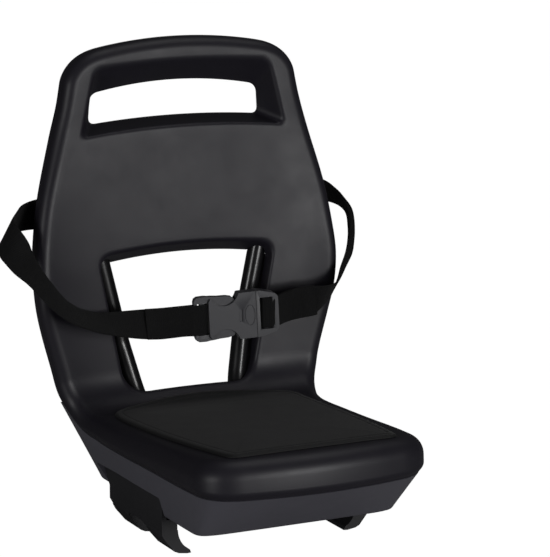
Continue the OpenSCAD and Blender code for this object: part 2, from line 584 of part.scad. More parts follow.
// Pan head screw along +Z: the head sits on z = 0, the shank reaches down by length
module pan_screw(r, length) {
    translate([0, 0, -length]) cylinder(r = r, h = length + 1);
    difference() {
        union() {
            cylinder(r = r * 1.9, h = r * 0.7);
            translate([0, 0, r * 0.7]) cylinder(r1 = r * 1.9, r2 = r * 1.3, h = r * 0.4);
        }
        translate([0, 0, r * 0.5]) cylinder(r = r * 0.7, h = r * 2, $fn = 6);
    }
}
module saddle_screws() {
    color([0.6, 0.6, 0.62]) for (side = [-1, 1]) {
        for (dz = [-saddle_hole, saddle_hole])
            translate([side * back_saddle_x, TUBE_CORNER[1] + saddle_t, crossbar_z + dz]) rotate([-90, 0, 0])
                pan_screw(screw_r, 11);
        for (y = base_saddle_ys) for (dx = [-saddle_hole, saddle_hole])
            translate([side * base_tube_x + dx, y, tube_z + saddle_t]) pan_screw(screw_r, 14);
    }
}
module shell_screws() {
    color([0.6, 0.6, 0.62]) for (side = [-1, 1]) for (p = SHELL_SCREWS)
        translate([side * p[0], p[1], 6]) rotate([180, 0, 0]) pan_screw(shell_screw_r, 20);
}

// Hook plate with two claws and two arms, modelled for the right side
plate_top_z = 15.5;
PLATE_REAR = [77.5, 90];
PLATE_TOP = [claw_front, plate_top_z];
claw_out = hook_hw;
claw_in = hook_hw - 13;
claw_gap = 2.4;
module claw_section() {
    tip_x = hook_hw - 24;
    difference() {
        polygon([[claw_out, -claw_gap], [claw_out, -14], [claw_out - 2.4, -18.5], [claw_out - 6.5, -claw_drop + 7.5],
            [claw_out - 10.5, -claw_drop + 2.6], [claw_out - 14, -claw_drop + 1], [tip_x + 3, -claw_drop],
            [tip_x - 0.5, -claw_drop + 0.2], [tip_x + 0.6, -claw_drop + 2.6], [tip_x + 2, -claw_gap]]);
        translate([claw_out - 32.5, -claw_drop + 19.5]) circle(r = 19);
        translate([tip_x - 10, -claw_drop + 19.5]) square([claw_in - tip_x + 10, claw_drop]);
    }
}
module plate_outline() {
    fc = claw_front;
    polygon([[fc, plate_top_z], [fc, -14], [fc + claw_len, -14], [fc + claw_len + 8, -12.5],
        [fc + claw_pitch, -12.5], [fc + claw_pitch + claw_len - 2, -14], [PLATE_REAR[0], -10.5], [PLATE_REAR[0], 0],
        [PLATE_REAR[1], plate_top_z]]);
}
module hook_set(bore) {
    difference() {
        union() {
            translate([hook_hw - plate_t, 0, 0]) rotate([90, 0, 90]) linear_extrude(plate_t) plate_outline();
            for (i = [0, 1]) translate([0, claw_front + i * claw_pitch + claw_len, 0]) rotate([90, 0, 0])
                linear_extrude(claw_len) claw_section();
            for (y = ARM_YS) translate([arm_in, y, arm_z]) cube([hook_hw - plate_t - arm_in + 1, arm_w, arm_t]);
        }
        if (bore) translate([hook_hw - plate_t - 1, clamp_y, clamp_z]) rotate([0, 90, 0])
            cylinder(r = clamp_r + 0.3, h = plate_t + 2);
        if (!bore) for (y = ARM_YS) translate([keeper_x, y + arm_w / 2, arm_z - 1])
            cylinder(r = screw_r + 0.05, h = arm_t + 2);
    }
}
module fixed_hooks() {
    color([0.16, 0.16, 0.17]) mirror([1, 0, 0]) hook_set(false);
}
module sliding_hooks() {
    color([0.16, 0.16, 0.17]) translate([jaw_open, 0, 0]) hook_set(true);
}
module fixed_hook_screws() {
    color([0.6, 0.6, 0.62]) for (y = ARM_YS) translate([-keeper_x, y + arm_w / 2, arm_z + arm_t])
        pan_screw(screw_r, 8);
}
module arm_keepers() {
    z = arm_z + arm_t + fit;
    color([0.62, 0.62, 0.64]) for (y = ARM_YS) difference() {
        translate([keeper_x - keeper_w / 2, y - 6, z]) cube([keeper_w, arm_w + 12, keeper_t]);
        for (dy = [-2.6, arm_w + 2.6]) translate([keeper_x, y + dy, z - 1]) cylinder(r = 1.4, h = keeper_t + 2);
    }
}
module keeper_screws() {
    z = arm_z + arm_t + fit + keeper_t;
    color([0.6, 0.6, 0.62]) for (y = ARM_YS) for (dy = [-2.6, arm_w + 2.6])
        translate([keeper_x, y + dy, z]) pan_screw(1.3, 6);
}
module clamp_nut() {
    color([0.66, 0.66, 0.68]) difference() {
        translate([nut_x, clamp_y, clamp_z]) rotate([0, 90, 0])
            cylinder(r = nut_af / 2 / cos(30), h = nut_t, $fn = 6);
        translate([nut_x - 1, clamp_y, clamp_z]) rotate([0, 90, 0]) cylinder(r = clamp_r + 0.05, h = nut_t + 2);
    }
}
washer_t = 1.6;
washer_r = 5.8;
module clamp_washer() {
    color([0.7, 0.7, 0.72]) translate([hook_hw + jaw_open + 0.1, clamp_y, clamp_z]) rotate([0, 90, 0]) difference() {
        cylinder(r = washer_r, h = washer_t);
        translate([0, 0, -1]) cylinder(r = clamp_r + 0.3, h = washer_t + 2);
    }
}
knob_x = hook_hw + jaw_open + 0.1 + washer_t + 0.1;
knob_neck = 11;
module clamp_clip() {
    color([0.3, 0.3, 0.32]) translate([hook_hw + jaw_open - plate_t - 1.2, clamp_y, clamp_z]) rotate([0, 90, 0]) difference() {
        cylinder(r = clamp_r + 3, h = 1);
        translate([0, 0, -1]) cylinder(r = clamp_r, h = 3);
        translate([0, -1.2, -1]) cube([20, 2.4, 3]);
    }
}
screw_x = 30 + jaw_open;
module clamp_screw() {
    color([0.66, 0.66, 0.68]) translate([screw_x, clamp_y, clamp_z]) rotate([0, 90, 0])
        cylinder(r = clamp_r, h = knob_x + knob_neck + 6 - screw_x);
}
module clamp_knob() {
    color([0.08, 0.08, 0.085]) translate([knob_x, clamp_y, clamp_z]) rotate([0, 90, 0]) difference() {
        union() {
            cylinder(r = washer_r, h = knob_neck + 1);
            translate([0, 0, knob_neck]) cylinder(r = knob_r, h = 11);
        }
        for (a = [15:60:315]) rotate([0, 0, a]) translate([knob_r + 2.5, 0, 2]) cylinder(r = 5, h = knob_neck + 20);
        translate([0, 0, -1]) cylinder(r = clamp_r, h = knob_neck + 7);
    }
}

// Belt: a flat band along points of its middle line, each with the direction of its width
function lerp3(a, b, t) = a + (b - a) * t;
function spline(p, i, t) =
    let (n = len(p), a = p[max(i - 1, 0)], b = p[i], c = p[i + 1], d = p[min(i + 2, n - 1)])
    0.5 * ((2 * b) + (c - a) * t + (2 * a - 5 * b + 4 * c - d) * t ^ 2 + (3 * b - a - 3 * c + d) * t ^ 3);
function smooth(p, steps) = concat([for (i = [0:len(p) - 2]) for (k = [0:steps - 1]) spline(p, i, k / steps)],
    [p[len(p) - 1]]);
module band(middle, widths, w, t) {
    n = len(middle);
    function dir(i) = unit(middle[min(i + 1, n - 1)] - middle[max(i - 1, 0)]);
    points = [for (i = [0:n - 1]) let (d = dir(i), u = unit(widths[i] - d * (widths[i] * d)), v = cross(d, u))
        each [middle[i] + u * w / 2 + v * t / 2, middle[i] + u * w / 2 - v * t / 2,
            middle[i] - u * w / 2 - v * t / 2, middle[i] - u * w / 2 + v * t / 2]];
    sides = [for (i = [0:n - 2]) for (k = [0:3]) let (m = (k + 1) % 4)
        each two(4 * i + k, 4 * i + m, 4 * i + 4 + m, 4 * i + 4 + k)];
    polyhedron(points = points, faces = concat(sides, [[3, 2, 1, 0],
        [4 * n - 4, 4 * n - 3, 4 * n - 2, 4 * n - 1]]), convexity = 8);
}
// Middle lines of the two belt halves, from the tube leg to the buckle, and their width directions
LEFT_BELT = [[-79.8, 141.6, 212], [-100, 141.4, 211.5], [-127, 140, 210], [-141, 133, 207.5], [-154, 117, 203],
    [-154, 104, 193], [-149, 96, 181], [-142, 90, 171.5], [-134, 88, 161], [-125, 88, 150.5], [-115, 89, 141.5],
    [-102, 91, 134], [-84, 92, 128], [-56, 92, 124.5], [-32, 90, 123.5], [-8, 87, 124.5]];
LEFT_WIDTH = [[0, 0.06, 1], [0.05, 0.03, 1], [0.08, -0.1, 1], [0.05, -0.35, 0.93], [0.24, -0.46, 0.85],
    [0.45, -0.06, 0.89], [0.6, 0.4, 0.65], [0.68, 0.65, 0.35], [0.7, 0.7, 0.15], [0.65, 0.74, 0.1],
    [0.6, 0.75, 0.2], [0.45, 0.7, 0.4], [0.3, 0.6, 0.65], [0.2, 0.4, 0.85], [0.1, 0.2, 0.95], [0, 0, 1]];
RIGHT_BELT = [[79.8, 141.6, 212], [100, 141.3, 211.5], [114.5, 147, 212], [129, 148, 210.5], [141.5, 144.5, 207.5],
    [150, 137.5, 202], [153.5, 129.5, 194], [152.5, 122, 184], [148.5, 114.5, 172.5], [142.5, 107.5, 162],
    [135, 101, 152.5], [127, 95, 143.5], [118.5, 90, 136], [107.5, 87.5, 132], [94.5, 87.5, 130], [81, 86.5, 129],
    [70, 81, 128.5], [61, 75.2, 128.3]];
RIGHT_WIDTH = [[0, 0.06, 1], [0.03, 0.02, 1], [0.12, -0.3, 0.95], [0.13, -0.33, 0.93], [0.05, -0.51, 0.86],
    [-0.23, -0.71, 0.66], [-0.38, -0.73, 0.57], [-0.23, -0.77, 0.59], [-0.17, -0.79, 0.59], [-0.1, -0.8, 0.59],
    [-0.02, -0.82, 0.57], [-0.08, -0.78, 0.63], [-0.09, -0.76, 0.64], [-0.13, -0.59, 0.79], [-0.1, -0.14, 0.98],
    [-0.08, 0.14, 0.99], [-0.05, 0.1, 0.99], [0, 0, 1]];
// Sewn loop of the webbing round a leg of the frame tube
module leg_loop(side) {
    leg = unit([side * leg_slope[0], leg_slope[1], 1]);
    middle = [side * TUBE_KNEE[0], TUBE_KNEE[1], TUBE_KNEE[2]] + leg * (212 - TUBE_KNEE[2]) / leg[2];
    difference() {
        rod(middle - leg * web_w / 2, middle + leg * web_w / 2, tube_r + fit + web_t);
        rod(middle - leg * web_w, middle + leg * web_w, tube_r + fit);
    }
}
module belt_left() {
    color([0.05, 0.05, 0.05]) {
        band(smooth(LEFT_BELT, 3), smooth(LEFT_WIDTH, 3), web_w, web_t);
        leg_loop(-1);
    }
}
module belt_right() {
    color([0.05, 0.05, 0.05]) {
        band(smooth(RIGHT_BELT, 3), smooth(RIGHT_WIDTH, 3), web_w, web_t);
        leg_loop(1);
    }
}

// Buckle: local X from the belt's left half into the socket, local Z across the webbing
buckle_at = [2, 85, 125];
buckle_yaw = -10;
buckle_pitch = -3;
module buckle_frame() {
    translate(buckle_at) rotate([0, buckle_pitch, buckle_yaw]) children();
}
// Ellipse in the buckle's face
function oval(x, rx, rz) = [for (a = [0:20:340]) [x + rx * cos(a), rz * sin(a)]];
scallop_x = 14.5;
scallop_r = 12.3;
bar_x = [44, 48.2, 51, 54.6];
SOCKET_EDGE = [[1.5, 13.5], [3, 16.4], [4.2, 17], [25, 18.6], [28, socket_hw + 1], [45, socket_hw + 1],
    [socket_len - 1.5, socket_hw - 2.2], [socket_len + 0.8, socket_hw - 4.2], [socket_len + 1.5, socket_hw - 6.5]];
// Upper edge of an outline joined to its mirror image
function both(p) = concat(p, [for (i = [len(p) - 1:-1:0]) [p[i][0], -p[i][1]]]);
module buckle_socket() {
    front = -socket_t / 2;
    color([0.16, 0.16, 0.17]) buckle_frame() difference() {
        translate([0, -front, 0]) rotate([90, 0, 0]) linear_extrude(socket_t) difference() {
            polygon(both(SOCKET_EDGE));
            for (side = [-1, 1]) translate([scallop_x, side * (scallop_r + 9.6)]) circle(r = scallop_r);
        }
        translate([0, -3.2, -11.4]) cube([34, 6.4, 22.8]);
        translate([0, -3.2, -20]) cube([25, 6.4, 40]);
        translate([bar_x[0], -10, -13]) cube([bar_x[1] - bar_x[0], 20, 26]);
        translate([bar_x[2], -10, -13]) cube([bar_x[3] - bar_x[2], 20, 26]);
        translate([bar_x[0], front - 1, -13]) cube([bar_x[3] - bar_x[0], 3.6, 26]);
        translate([40.6, front - 1, -25]) cube([0.5, 1.5, 50]);
        translate([0, front + 0.5, 0]) rotate([90, 0, 0]) linear_extrude(2) difference() {
            polygon(oval(35.4, 4.4, 8.6));
            polygon(oval(35.4, 3.8, 8));
        }
        translate([26.6, front - 1, -5]) cube([2.6, 2, 10]);
    }
}
module buckle_prongs() {
    color([0.16, 0.16, 0.17]) buckle_frame() {
        difference() {
            translate([0, 3, 0]) rotate([90, 0, 0]) linear_extrude(6)
                polygon(both([[-10, 14.5], [-9.2, 16.8], [-7, 18.2], [-1, 18.4], [1.2, 18]]));
            translate([-7.4, -10, -13]) cube([2.6, 20, 26]);
            translate([-1.6, -10, -13]) cube([3.6, 20, 26]);
        }
        for (side = [-1, 1]) scale([1, 1, side]) translate([0, 2.8, 0]) rotate([90, 0, 0]) linear_extrude(5.6)
            polygon([[0.8, 13.3], [1.9, 13], [1.9, 0], [5, 0], [5, 7], [18, 8.4], [26, 6.5], [32, 5.2], [32, 8.2],
                [26, 9.8], [24.2, 10.6], [23.6, 13.6], [21.5, 16], [17, 17], [10, 17.2], [5, 17.8], [0.8, 18]]);
        translate([4, -2.8, -2]) cube([25, 5.6, 4]);
    }
}

seat_shell();
seat_pad();
base_tray();
frame_tube();
tube_plugs();
back_saddle(-1);  // back_saddle_left
back_saddle(1);  // back_saddle_right
base_saddle(-1, base_saddle_ys[0]);  // base_saddle_front_left
base_saddle(1, base_saddle_ys[0]);  // base_saddle_front_right
base_saddle(-1, base_saddle_ys[1]);  // base_saddle_rear_left
base_saddle(1, base_saddle_ys[1]);  // base_saddle_rear_right
saddle_screws();
shell_screws();
fixed_hooks();
fixed_hook_screws();
sliding_hooks();
arm_keepers();
keeper_screws();
clamp_nut();
clamp_washer();
clamp_clip();
clamp_screw();
clamp_knob();
belt_left();
belt_right();
buckle_socket();
buckle_prongs();
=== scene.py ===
"""Looks of a rear child bike seat: moulded shell, pad, tray, tube frame, hooks, lap belt and buckle."""

import logging
import math
from dataclasses import dataclass, field
from enum import Enum

import bmesh
import bpy
import numpy as np
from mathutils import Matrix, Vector
from mathutils.geometry import delaunay_2d_cdt

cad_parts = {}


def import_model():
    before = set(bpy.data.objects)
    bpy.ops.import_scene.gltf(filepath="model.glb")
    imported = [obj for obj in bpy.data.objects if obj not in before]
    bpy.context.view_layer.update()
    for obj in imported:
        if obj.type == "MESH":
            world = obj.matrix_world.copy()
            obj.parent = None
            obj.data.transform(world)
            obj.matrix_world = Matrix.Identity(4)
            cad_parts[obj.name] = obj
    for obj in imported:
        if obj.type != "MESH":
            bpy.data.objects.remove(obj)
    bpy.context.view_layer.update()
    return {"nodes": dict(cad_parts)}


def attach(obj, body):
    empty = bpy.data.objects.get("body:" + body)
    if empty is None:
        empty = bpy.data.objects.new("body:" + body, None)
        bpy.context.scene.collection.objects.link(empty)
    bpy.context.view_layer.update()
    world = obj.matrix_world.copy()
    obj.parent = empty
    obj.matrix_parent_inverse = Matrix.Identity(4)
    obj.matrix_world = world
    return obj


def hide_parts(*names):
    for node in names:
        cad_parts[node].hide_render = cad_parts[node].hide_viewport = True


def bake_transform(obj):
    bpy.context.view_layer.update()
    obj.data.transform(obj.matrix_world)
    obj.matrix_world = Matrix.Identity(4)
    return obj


LOG = logging.getLogger("bike_seat")
MM = 0.001
Array = np.ndarray
# Places of the screws between the shell and the tray
SHELL_SCREWS = ((-66, -71), (-66, 78), (66, -71), (66, 78))


# ---- Meshes -------------------------------------------------------------------------------------


def unit(v: Array) -> Array:
    """Vectors of length one along the last axis.

    Args:
        v: Array of vectors.

    Returns:
        The same directions, each divided by its length.
    """
    return v / np.maximum(np.linalg.norm(v, axis=-1, keepdims=True), 1e-12)


def ring_quads(rows: int, cols: int) -> Array:
    """Quads between neighbouring closed rows of a grid: corners (r, c), (r, c+1), (r+1, c+1), (r+1, c).

    Args:
        rows: Rows of the grid.
        cols: Points in each row; the last one joins the first.

    Returns:
        Array of four indices per face.
    """
    r, c = np.meshgrid(np.arange(rows - 1), np.arange(cols), indexing="ij")
    d = (c + 1) % cols
    return np.stack([r * cols + c, r * cols + d, (r + 1) * cols + d, (r + 1) * cols + c], -1).reshape(-1, 4)


def mirrored(half: Array) -> Array:
    """Closed ring from one half of it, whose first and last points lie on the middle plane."""
    return np.concatenate([half, (half * ([-1] + [1] * (half.shape[1] - 1)))[-2:0:-1]])


def fan(loop: Array) -> list[list[int]]:
    """One face over a closed loop of indices."""
    return [[int(i) for i in loop]]


def spline(points: Array, count: int) -> Array:
    """Curve through points: 0.5 (2b + (c-a)t + (2a-5b+4c-d)t2 + (3b-a-3c+d)t3) between b and c.

    Args:
        points: The points, one per row.
        count: Number of samples, evenly spread over the parameter.

    Returns:
        Array of count samples.
    """
    p = np.asarray(points, float)
    u = np.linspace(0, len(p) - 1, count)
    i = np.minimum(u.astype(int), len(p) - 2)
    t = (u - i)[:, None]
    a, b, c, d = p[np.maximum(i - 1, 0)], p[i], p[i + 1], p[np.minimum(i + 2, len(p) - 1)]
    return 0.5 * (2 * b + (c - a) * t + (2 * a - 5 * b + 4 * c - d) * t**2 + (3 * b - a - 3 * c + d) * t**3)


def bezier(a: Array, b: Array, c: Array, count: int) -> Array:
    """Quadratic curve (1-t)2 a + 2t(1-t) b + t2 c with both ends; works on whole rings of points too.

    Args:
        a: Start point or points.
        b: Point that draws the curve towards itself.
        c: End point or points.
        count: Number of samples along the curve.

    Returns:
        Array of samples, first axis along the curve.
    """
    a, b, c = (np.asarray(v, float) for v in (a, b, c))
    t = np.linspace(0, 1, count).reshape((-1,) + (1,) * a.ndim)
    return (1 - t) ** 2 * a + 2 * t * (1 - t) * b + t**2 * c


def runs(line: Array) -> Array:
    """Distance of each point of an open line from its start, along the line."""
    return np.concatenate([[0], np.cumsum(np.linalg.norm(np.diff(line, axis=0), axis=1))])


def resample(line: Array, count: int) -> Array:
    """Points at even distances along an open line."""
    run = runs(line)
    u = np.linspace(0, run[-1], count)
    return np.stack([np.interp(u, run, line[:, k]) for k in range(line.shape[1])], 1)


def soften(ring: Array, sigma: float) -> Array:
    """Closed ring smoothed by a bell-shaped mean of its neighbours.

    Args:
        ring: Closed ring of points.
        sigma: Width of the bell in points.

    Returns:
        The smoothed ring.
    """
    reach = int(4 * sigma) + 1
    k = np.exp(-0.5 * (np.arange(-reach, reach + 1) / sigma) ** 2)
    return sum(w * np.roll(ring, j, axis=0) for j, w in zip(range(-reach, reach + 1), k / k.sum()))


def inward_of(ring: Array, sigma: float) -> Array:
    """Directions towards the inside of a closed ring, square to it and softened by sigma."""
    tangent = unit(np.roll(ring, -1, axis=0) - np.roll(ring, 1, axis=0))
    return soften(np.stack([-tangent[:, 1], tangent[:, 0]], 1), sigma)


def step(x: Array, low: float, high: float) -> Array:
    """Smooth step 3t2 - 2t3 with t = (x - low) / (high - low) kept in 0 to 1."""
    t = np.clip((x - low) / (high - low), 0, 1)
    return t * t * (3 - 2 * t)


def inside(points: Array, loop: Array) -> Array:
    """Whether points lie in a closed polygon, by counting the edges to their right.

    Args:
        points: Points of the plane.
        loop: Corners of the polygon.

    Returns:
        True for each point inside.
    """
    a, b = loop, np.roll(loop, -1, axis=0)
    px, py = points[:, :1], points[:, 1:]
    crosses = (a[:, 1] > py) != (b[:, 1] > py)
    rise = np.where(b[:, 1] == a[:, 1], 1e-9, b[:, 1] - a[:, 1])
    return (crosses & (px < a[:, 0] + (py - a[:, 1]) * (b[:, 0] - a[:, 0]) / rise)).sum(1) % 2 == 1


def linked(name: str, data: bpy.types.ID) -> bpy.types.Object:
    """New object of the given data, linked to the scene."""
    thing = bpy.data.objects.new(name, data)
    bpy.context.scene.collection.objects.link(thing)
    return thing


def smooth(mesh: bpy.types.Mesh, sharp: float) -> None:
    """Smooth shading, with edges bent by more than sharp degrees drawn sharp."""
    mesh.shade_smooth()
    mesh.set_sharp_from_angle(angle=math.radians(sharp))


def make_piece(name: str, points: Array, faces: list, sharp: float = 40.0, weld: float = 0.0,
               recalc: bool = False) -> bpy.types.Object:
    """New mesh object in metres from points in millimetres.

    Args:
        name: Name of the object.
        points: Points in millimetres.
        faces: Faces as lists of indices, or arrays of them.
        sharp: Edges bent by more than this many degrees are drawn sharp.
        weld: Distance in millimetres within which points merge.
        recalc: Whether all faces are turned outwards, which needs a closed mesh.

    Returns:
        The object, linked to the scene, at the origin.
    """
    mesh = bpy.data.meshes.new(name)
    lists = [f if isinstance(f, list) else f.tolist() for f in faces]
    mesh.from_pydata((np.asarray(points) * MM).tolist(), [], [face for part in lists for face in part])
    if weld or recalc:
        bm = bmesh.new()
        bm.from_mesh(mesh)
        if weld:
            bmesh.ops.remove_doubles(bm, verts=bm.verts, dist=weld * MM)
        if recalc:
            bmesh.ops.recalc_face_normals(bm, faces=bm.faces)
        bm.to_mesh(mesh)
        bm.free()
    smooth(mesh, sharp)
    return linked(name, mesh)


def cross_frames(path: Array, first: Array) -> tuple[Array, Array, Array]:
    """Directions along and across a path, each turned as little as possible from the one before.

    Args:
        path: Points of the path.
        first: Wanted first direction across.

    Returns:
        Arrays of directions along, across and square to both.
    """
    along = unit(np.gradient(path, axis=0))
    across = np.empty_like(along)
    side = np.asarray(first, float)
    for i, d in enumerate(along):
        side = unit(side - d * (side @ d))
        across[i] = side
    return along, across, np.cross(along, across)


def swept(path: Array, section: Array, first: Array) -> tuple[Array, Array]:
    """Closed section carried along a path: point = path + u across + v square.

    Args:
        path: Points of the path.
        section: Points (u, v) of the section.
        first: Direction of u at the start.

    Returns:
        Grid of points (path, section, 3) and the quads between them.
    """
    _, u, v = cross_frames(path, first)
    grid = path[:, None] + section[None, :, :1] * u[:, None] + section[None, :, 1:] * v[:, None]
    return grid, ring_quads(len(path), len(section))


def capped(grid: Array, quads: Array) -> tuple[Array, list]:
    """Points and faces of a swept grid with a flat face over each end."""
    rows, cols = grid.shape[:2]
    last = (rows - 1) * cols
    return grid.reshape(-1, 3), [quads, fan(np.arange(cols)[::-1]), fan(last + np.arange(cols))]


def joined(parts: list[tuple[Array, list]]) -> tuple[Array, list]:
    """Points and faces of several parts as one mesh: each part's indices are raised by the points before it."""
    faces, count = [], 0
    for points, lists in parts:
        faces += [[[i + count for i in f] for f in (p if isinstance(p, list) else p.tolist())] for p in lists]
        count += len(points)
    return np.concatenate([points for points, _ in parts]), faces


def prism(name: str, low: Array, high: Array) -> bpy.types.Object:
    """Closed solid between two rings with the same number of points."""
    n = len(low)
    faces = [ring_quads(2, n), fan(np.arange(n)), fan(n + np.arange(n))]
    return make_piece(name, np.concatenate([low, high]), faces, recalc=True)


def circle(radius: float, count: int) -> Array:
    """Points of a circle: (r cos a, r sin a)."""
    a = np.linspace(0, 2 * math.pi, count, endpoint=False)
    return radius * np.stack([np.cos(a), np.sin(a)], 1)


def stadium(width: float, thick: float, count: int) -> Array:
    """Flat section of a strap with round edges: thickness follows a superellipse over the width.

    Args:
        width: Whole width.
        thick: Whole thickness.
        count: Points along one face.

    Returns:
        Closed section as (across, out) points.
    """
    u = np.cos(np.linspace(0, math.pi, count))
    h = thick / 2 * (1 - np.abs(u) ** 14) ** 0.5
    top = np.stack([u * width / 2, h], 1)
    return np.concatenate([top, (top * [1, -1])[-2:0:-1]])


def cad_copy(node: bpy.types.Object, name: str, bevel: float, sharp: float = 32.0) -> bpy.types.Object:
    """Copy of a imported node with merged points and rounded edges.

    Args:
        node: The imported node's object.
        name: Name of the copy.
        bevel: Width of the rounding in millimetres.
        sharp: Edges bent by more than this many degrees are rounded.

    Returns:
        The copy, linked to the scene.
    """
    bm = bmesh.new()
    bm.from_mesh(node.data)
    bmesh.ops.remove_doubles(bm, verts=bm.verts, dist=0.01 * MM)
    bmesh.ops.dissolve_limit(bm, angle_limit=math.radians(1.0), verts=bm.verts, edges=bm.edges)
    mesh = bpy.data.meshes.new(name)
    bm.to_mesh(mesh)
    bm.free()
    smooth(mesh, sharp)
    piece = linked(name, mesh)
    if bevel > 0:
        rounding = piece.modifiers.new("rounding", "BEVEL")
        rounding.width = bevel * MM
        rounding.segments = 3
        rounding.limit_method = "ANGLE"
        rounding.angle_limit = math.radians(sharp)
        rounding.use_clamp_overlap = True
        rounding.harden_normals = True
        rounding.miter_outer = "MITER_ARC"
    return piece


def cut(piece: bpy.types.Object, tools: list[bpy.types.Object], sharp: float, operation: str = "DIFFERENCE") -> None:
    """Takes the tools out of the piece, or keeps what lies inside them, and deletes them.

    Args:
        piece: Object to cut.
        tools: Closed objects.
        sharp: Edges bent by more than this many degrees are drawn sharp afterwards.
        operation: DIFFERENCE or INTERSECT.
    """
    for tool in tools:
        mod = piece.modifiers.new("cut", "BOOLEAN")
        mod.operation = operation
        mod.solver = "EXACT"
        mod.object = tool
    bpy.context.view_layer.update()
    graph = bpy.context.evaluated_depsgraph_get()
    done = bpy.data.meshes.new_from_object(piece.evaluated_get(graph), depsgraph=graph)
    piece.modifiers.clear()
    piece.data = done
    for tool in tools:
        bpy.data.objects.remove(tool)
    smooth(piece.data, sharp)


# ---- Finishes -----------------------------------------------------------------------------------


def linear(hex_colour: str) -> tuple[float, float, float, float]:
    """Linear colour of an sRGB hex value: c/12.92 below 0.04045, else ((c+0.055)/1.055)^2.4."""
    parts = [int(hex_colour[i:i + 2], 16) / 255 for i in (1, 3, 5)]
    return tuple(c / 12.92 if c <= 0.04045 else ((c + 0.055) / 1.055) ** 2.4 for c in parts) + (1.0,)


def shade(hex_colour: str, factor: float) -> tuple[float, float, float, float]:
    """Linear colour of an sRGB hex value, times a factor."""
    return tuple(c * factor for c in linear(hex_colour)[:3]) + (1.0,)


def wire(tree: bpy.types.NodeTree, node: bpy.types.Node, links: dict) -> None:
    """Feeds each named or numbered input of a node from an output socket."""
    for key, socket in links.items():
        tree.links.new(socket, node.inputs[key])


def new_material(name: str, values: dict) -> tuple[bpy.types.Material, bpy.types.NodeTree, bpy.types.Node]:
    """New material, its tree and its shader, whose named inputs get the values."""
    mat = bpy.data.materials.new(name)
    mat.use_nodes = True
    shader = mat.node_tree.nodes["Principled BSDF"]
    for key, value in values.items():
        shader.inputs[key].default_value = value
    return mat, mat.node_tree, shader


def add(tree: bpy.types.NodeTree, kind: str, props: dict | None = None, values: dict | None = None,
        links: dict | None = None) -> bpy.types.Node:
    """Adds a node with its settings, socket values and links.

    Args:
        tree: Node tree to add to.
        kind: Type name of the node.
        props: Settings of the node.
        values: Value of each named or numbered input.
        links: Output socket that feeds each named or numbered input.

    Returns:
        The node.
    """
    node = tree.nodes.new(kind)
    for key, value in (props or {}).items():
        setattr(node, key, value)
    for key, value in (values or {}).items():
        node.inputs[key].default_value = value
    wire(tree, node, links or {})
    return node


class Grain(Enum):
    """Surface pattern of a moulded part."""

    SPARK = "fine pitted grain from a spark eroded mould"
    SATIN = "nearly smooth satin surface"


@dataclass(frozen=True)
class MouldedPlastic:
    """Injection moulded thermoplastic: even colour, fine grain, broad soft highlights."""

    name: str
    slot: str
    colour: str
    roughness: float
    grain: Grain = Grain.SPARK
    grain_mm: float = 0.9
    depth_mm: float = 0.02
    ior: float = 1.49
    specular: float = 0.5

    def build(self) -> bpy.types.Material:
        """Makes the material: pits of grain_mm, slight clouds of colour at 45 mm and dull scuffs at 25 mm."""
        mat, tree, shader = new_material(self.name, {"IOR": self.ior, "Specular IOR Level": self.specular})
        place = add(tree, "ShaderNodeTexCoord").outputs["Object"]
        clouds = add(tree, "ShaderNodeTexNoise", values={"Scale": 1 / 0.045, "Detail": 3.0}, links={"Vector": place})
        tone = add(tree, "ShaderNodeMix", {"data_type": "RGBA"}, {6: shade(self.colour, 0.92),
                   7: shade(self.colour, 1.08)}, {0: clouds.outputs[0]})
        scuffs = add(tree, "ShaderNodeTexNoise", values={"Scale": 1 / 0.025, "Detail": 6.0, "Roughness": 0.65},
                     links={"Vector": place})
        rough = add(tree, "ShaderNodeMapRange", values={1: 0.3, 2: 0.7, 3: self.roughness - 0.03,
                    4: self.roughness + 0.04}, links={0: scuffs.outputs[0]})
        pits = add(tree, "ShaderNodeTexVoronoi", {"feature": "SMOOTH_F1"}, {"Scale": 1000 / self.grain_mm,
                   "Smoothness": 0.6}, {"Vector": place})
        fine = add(tree, "ShaderNodeTexNoise", values={"Scale": 2300 / self.grain_mm, "Detail": 2.0},
                   links={"Vector": place})
        height = add(tree, "ShaderNodeMath", {"operation": "ADD"}, links={0: pits.outputs[0], 1: fine.outputs[0]})
        strength = 0.5 if self.grain is Grain.SPARK else 0.2
        bump = add(tree, "ShaderNodeBump", values={"Strength": strength, "Distance": self.depth_mm * MM},
                   links={"Height": height.outputs[0]})
        wire(tree, shader, {"Base Color": tone.outputs[2], "Roughness": rough.outputs[0], "Normal": bump.outputs[0]})
        return mat


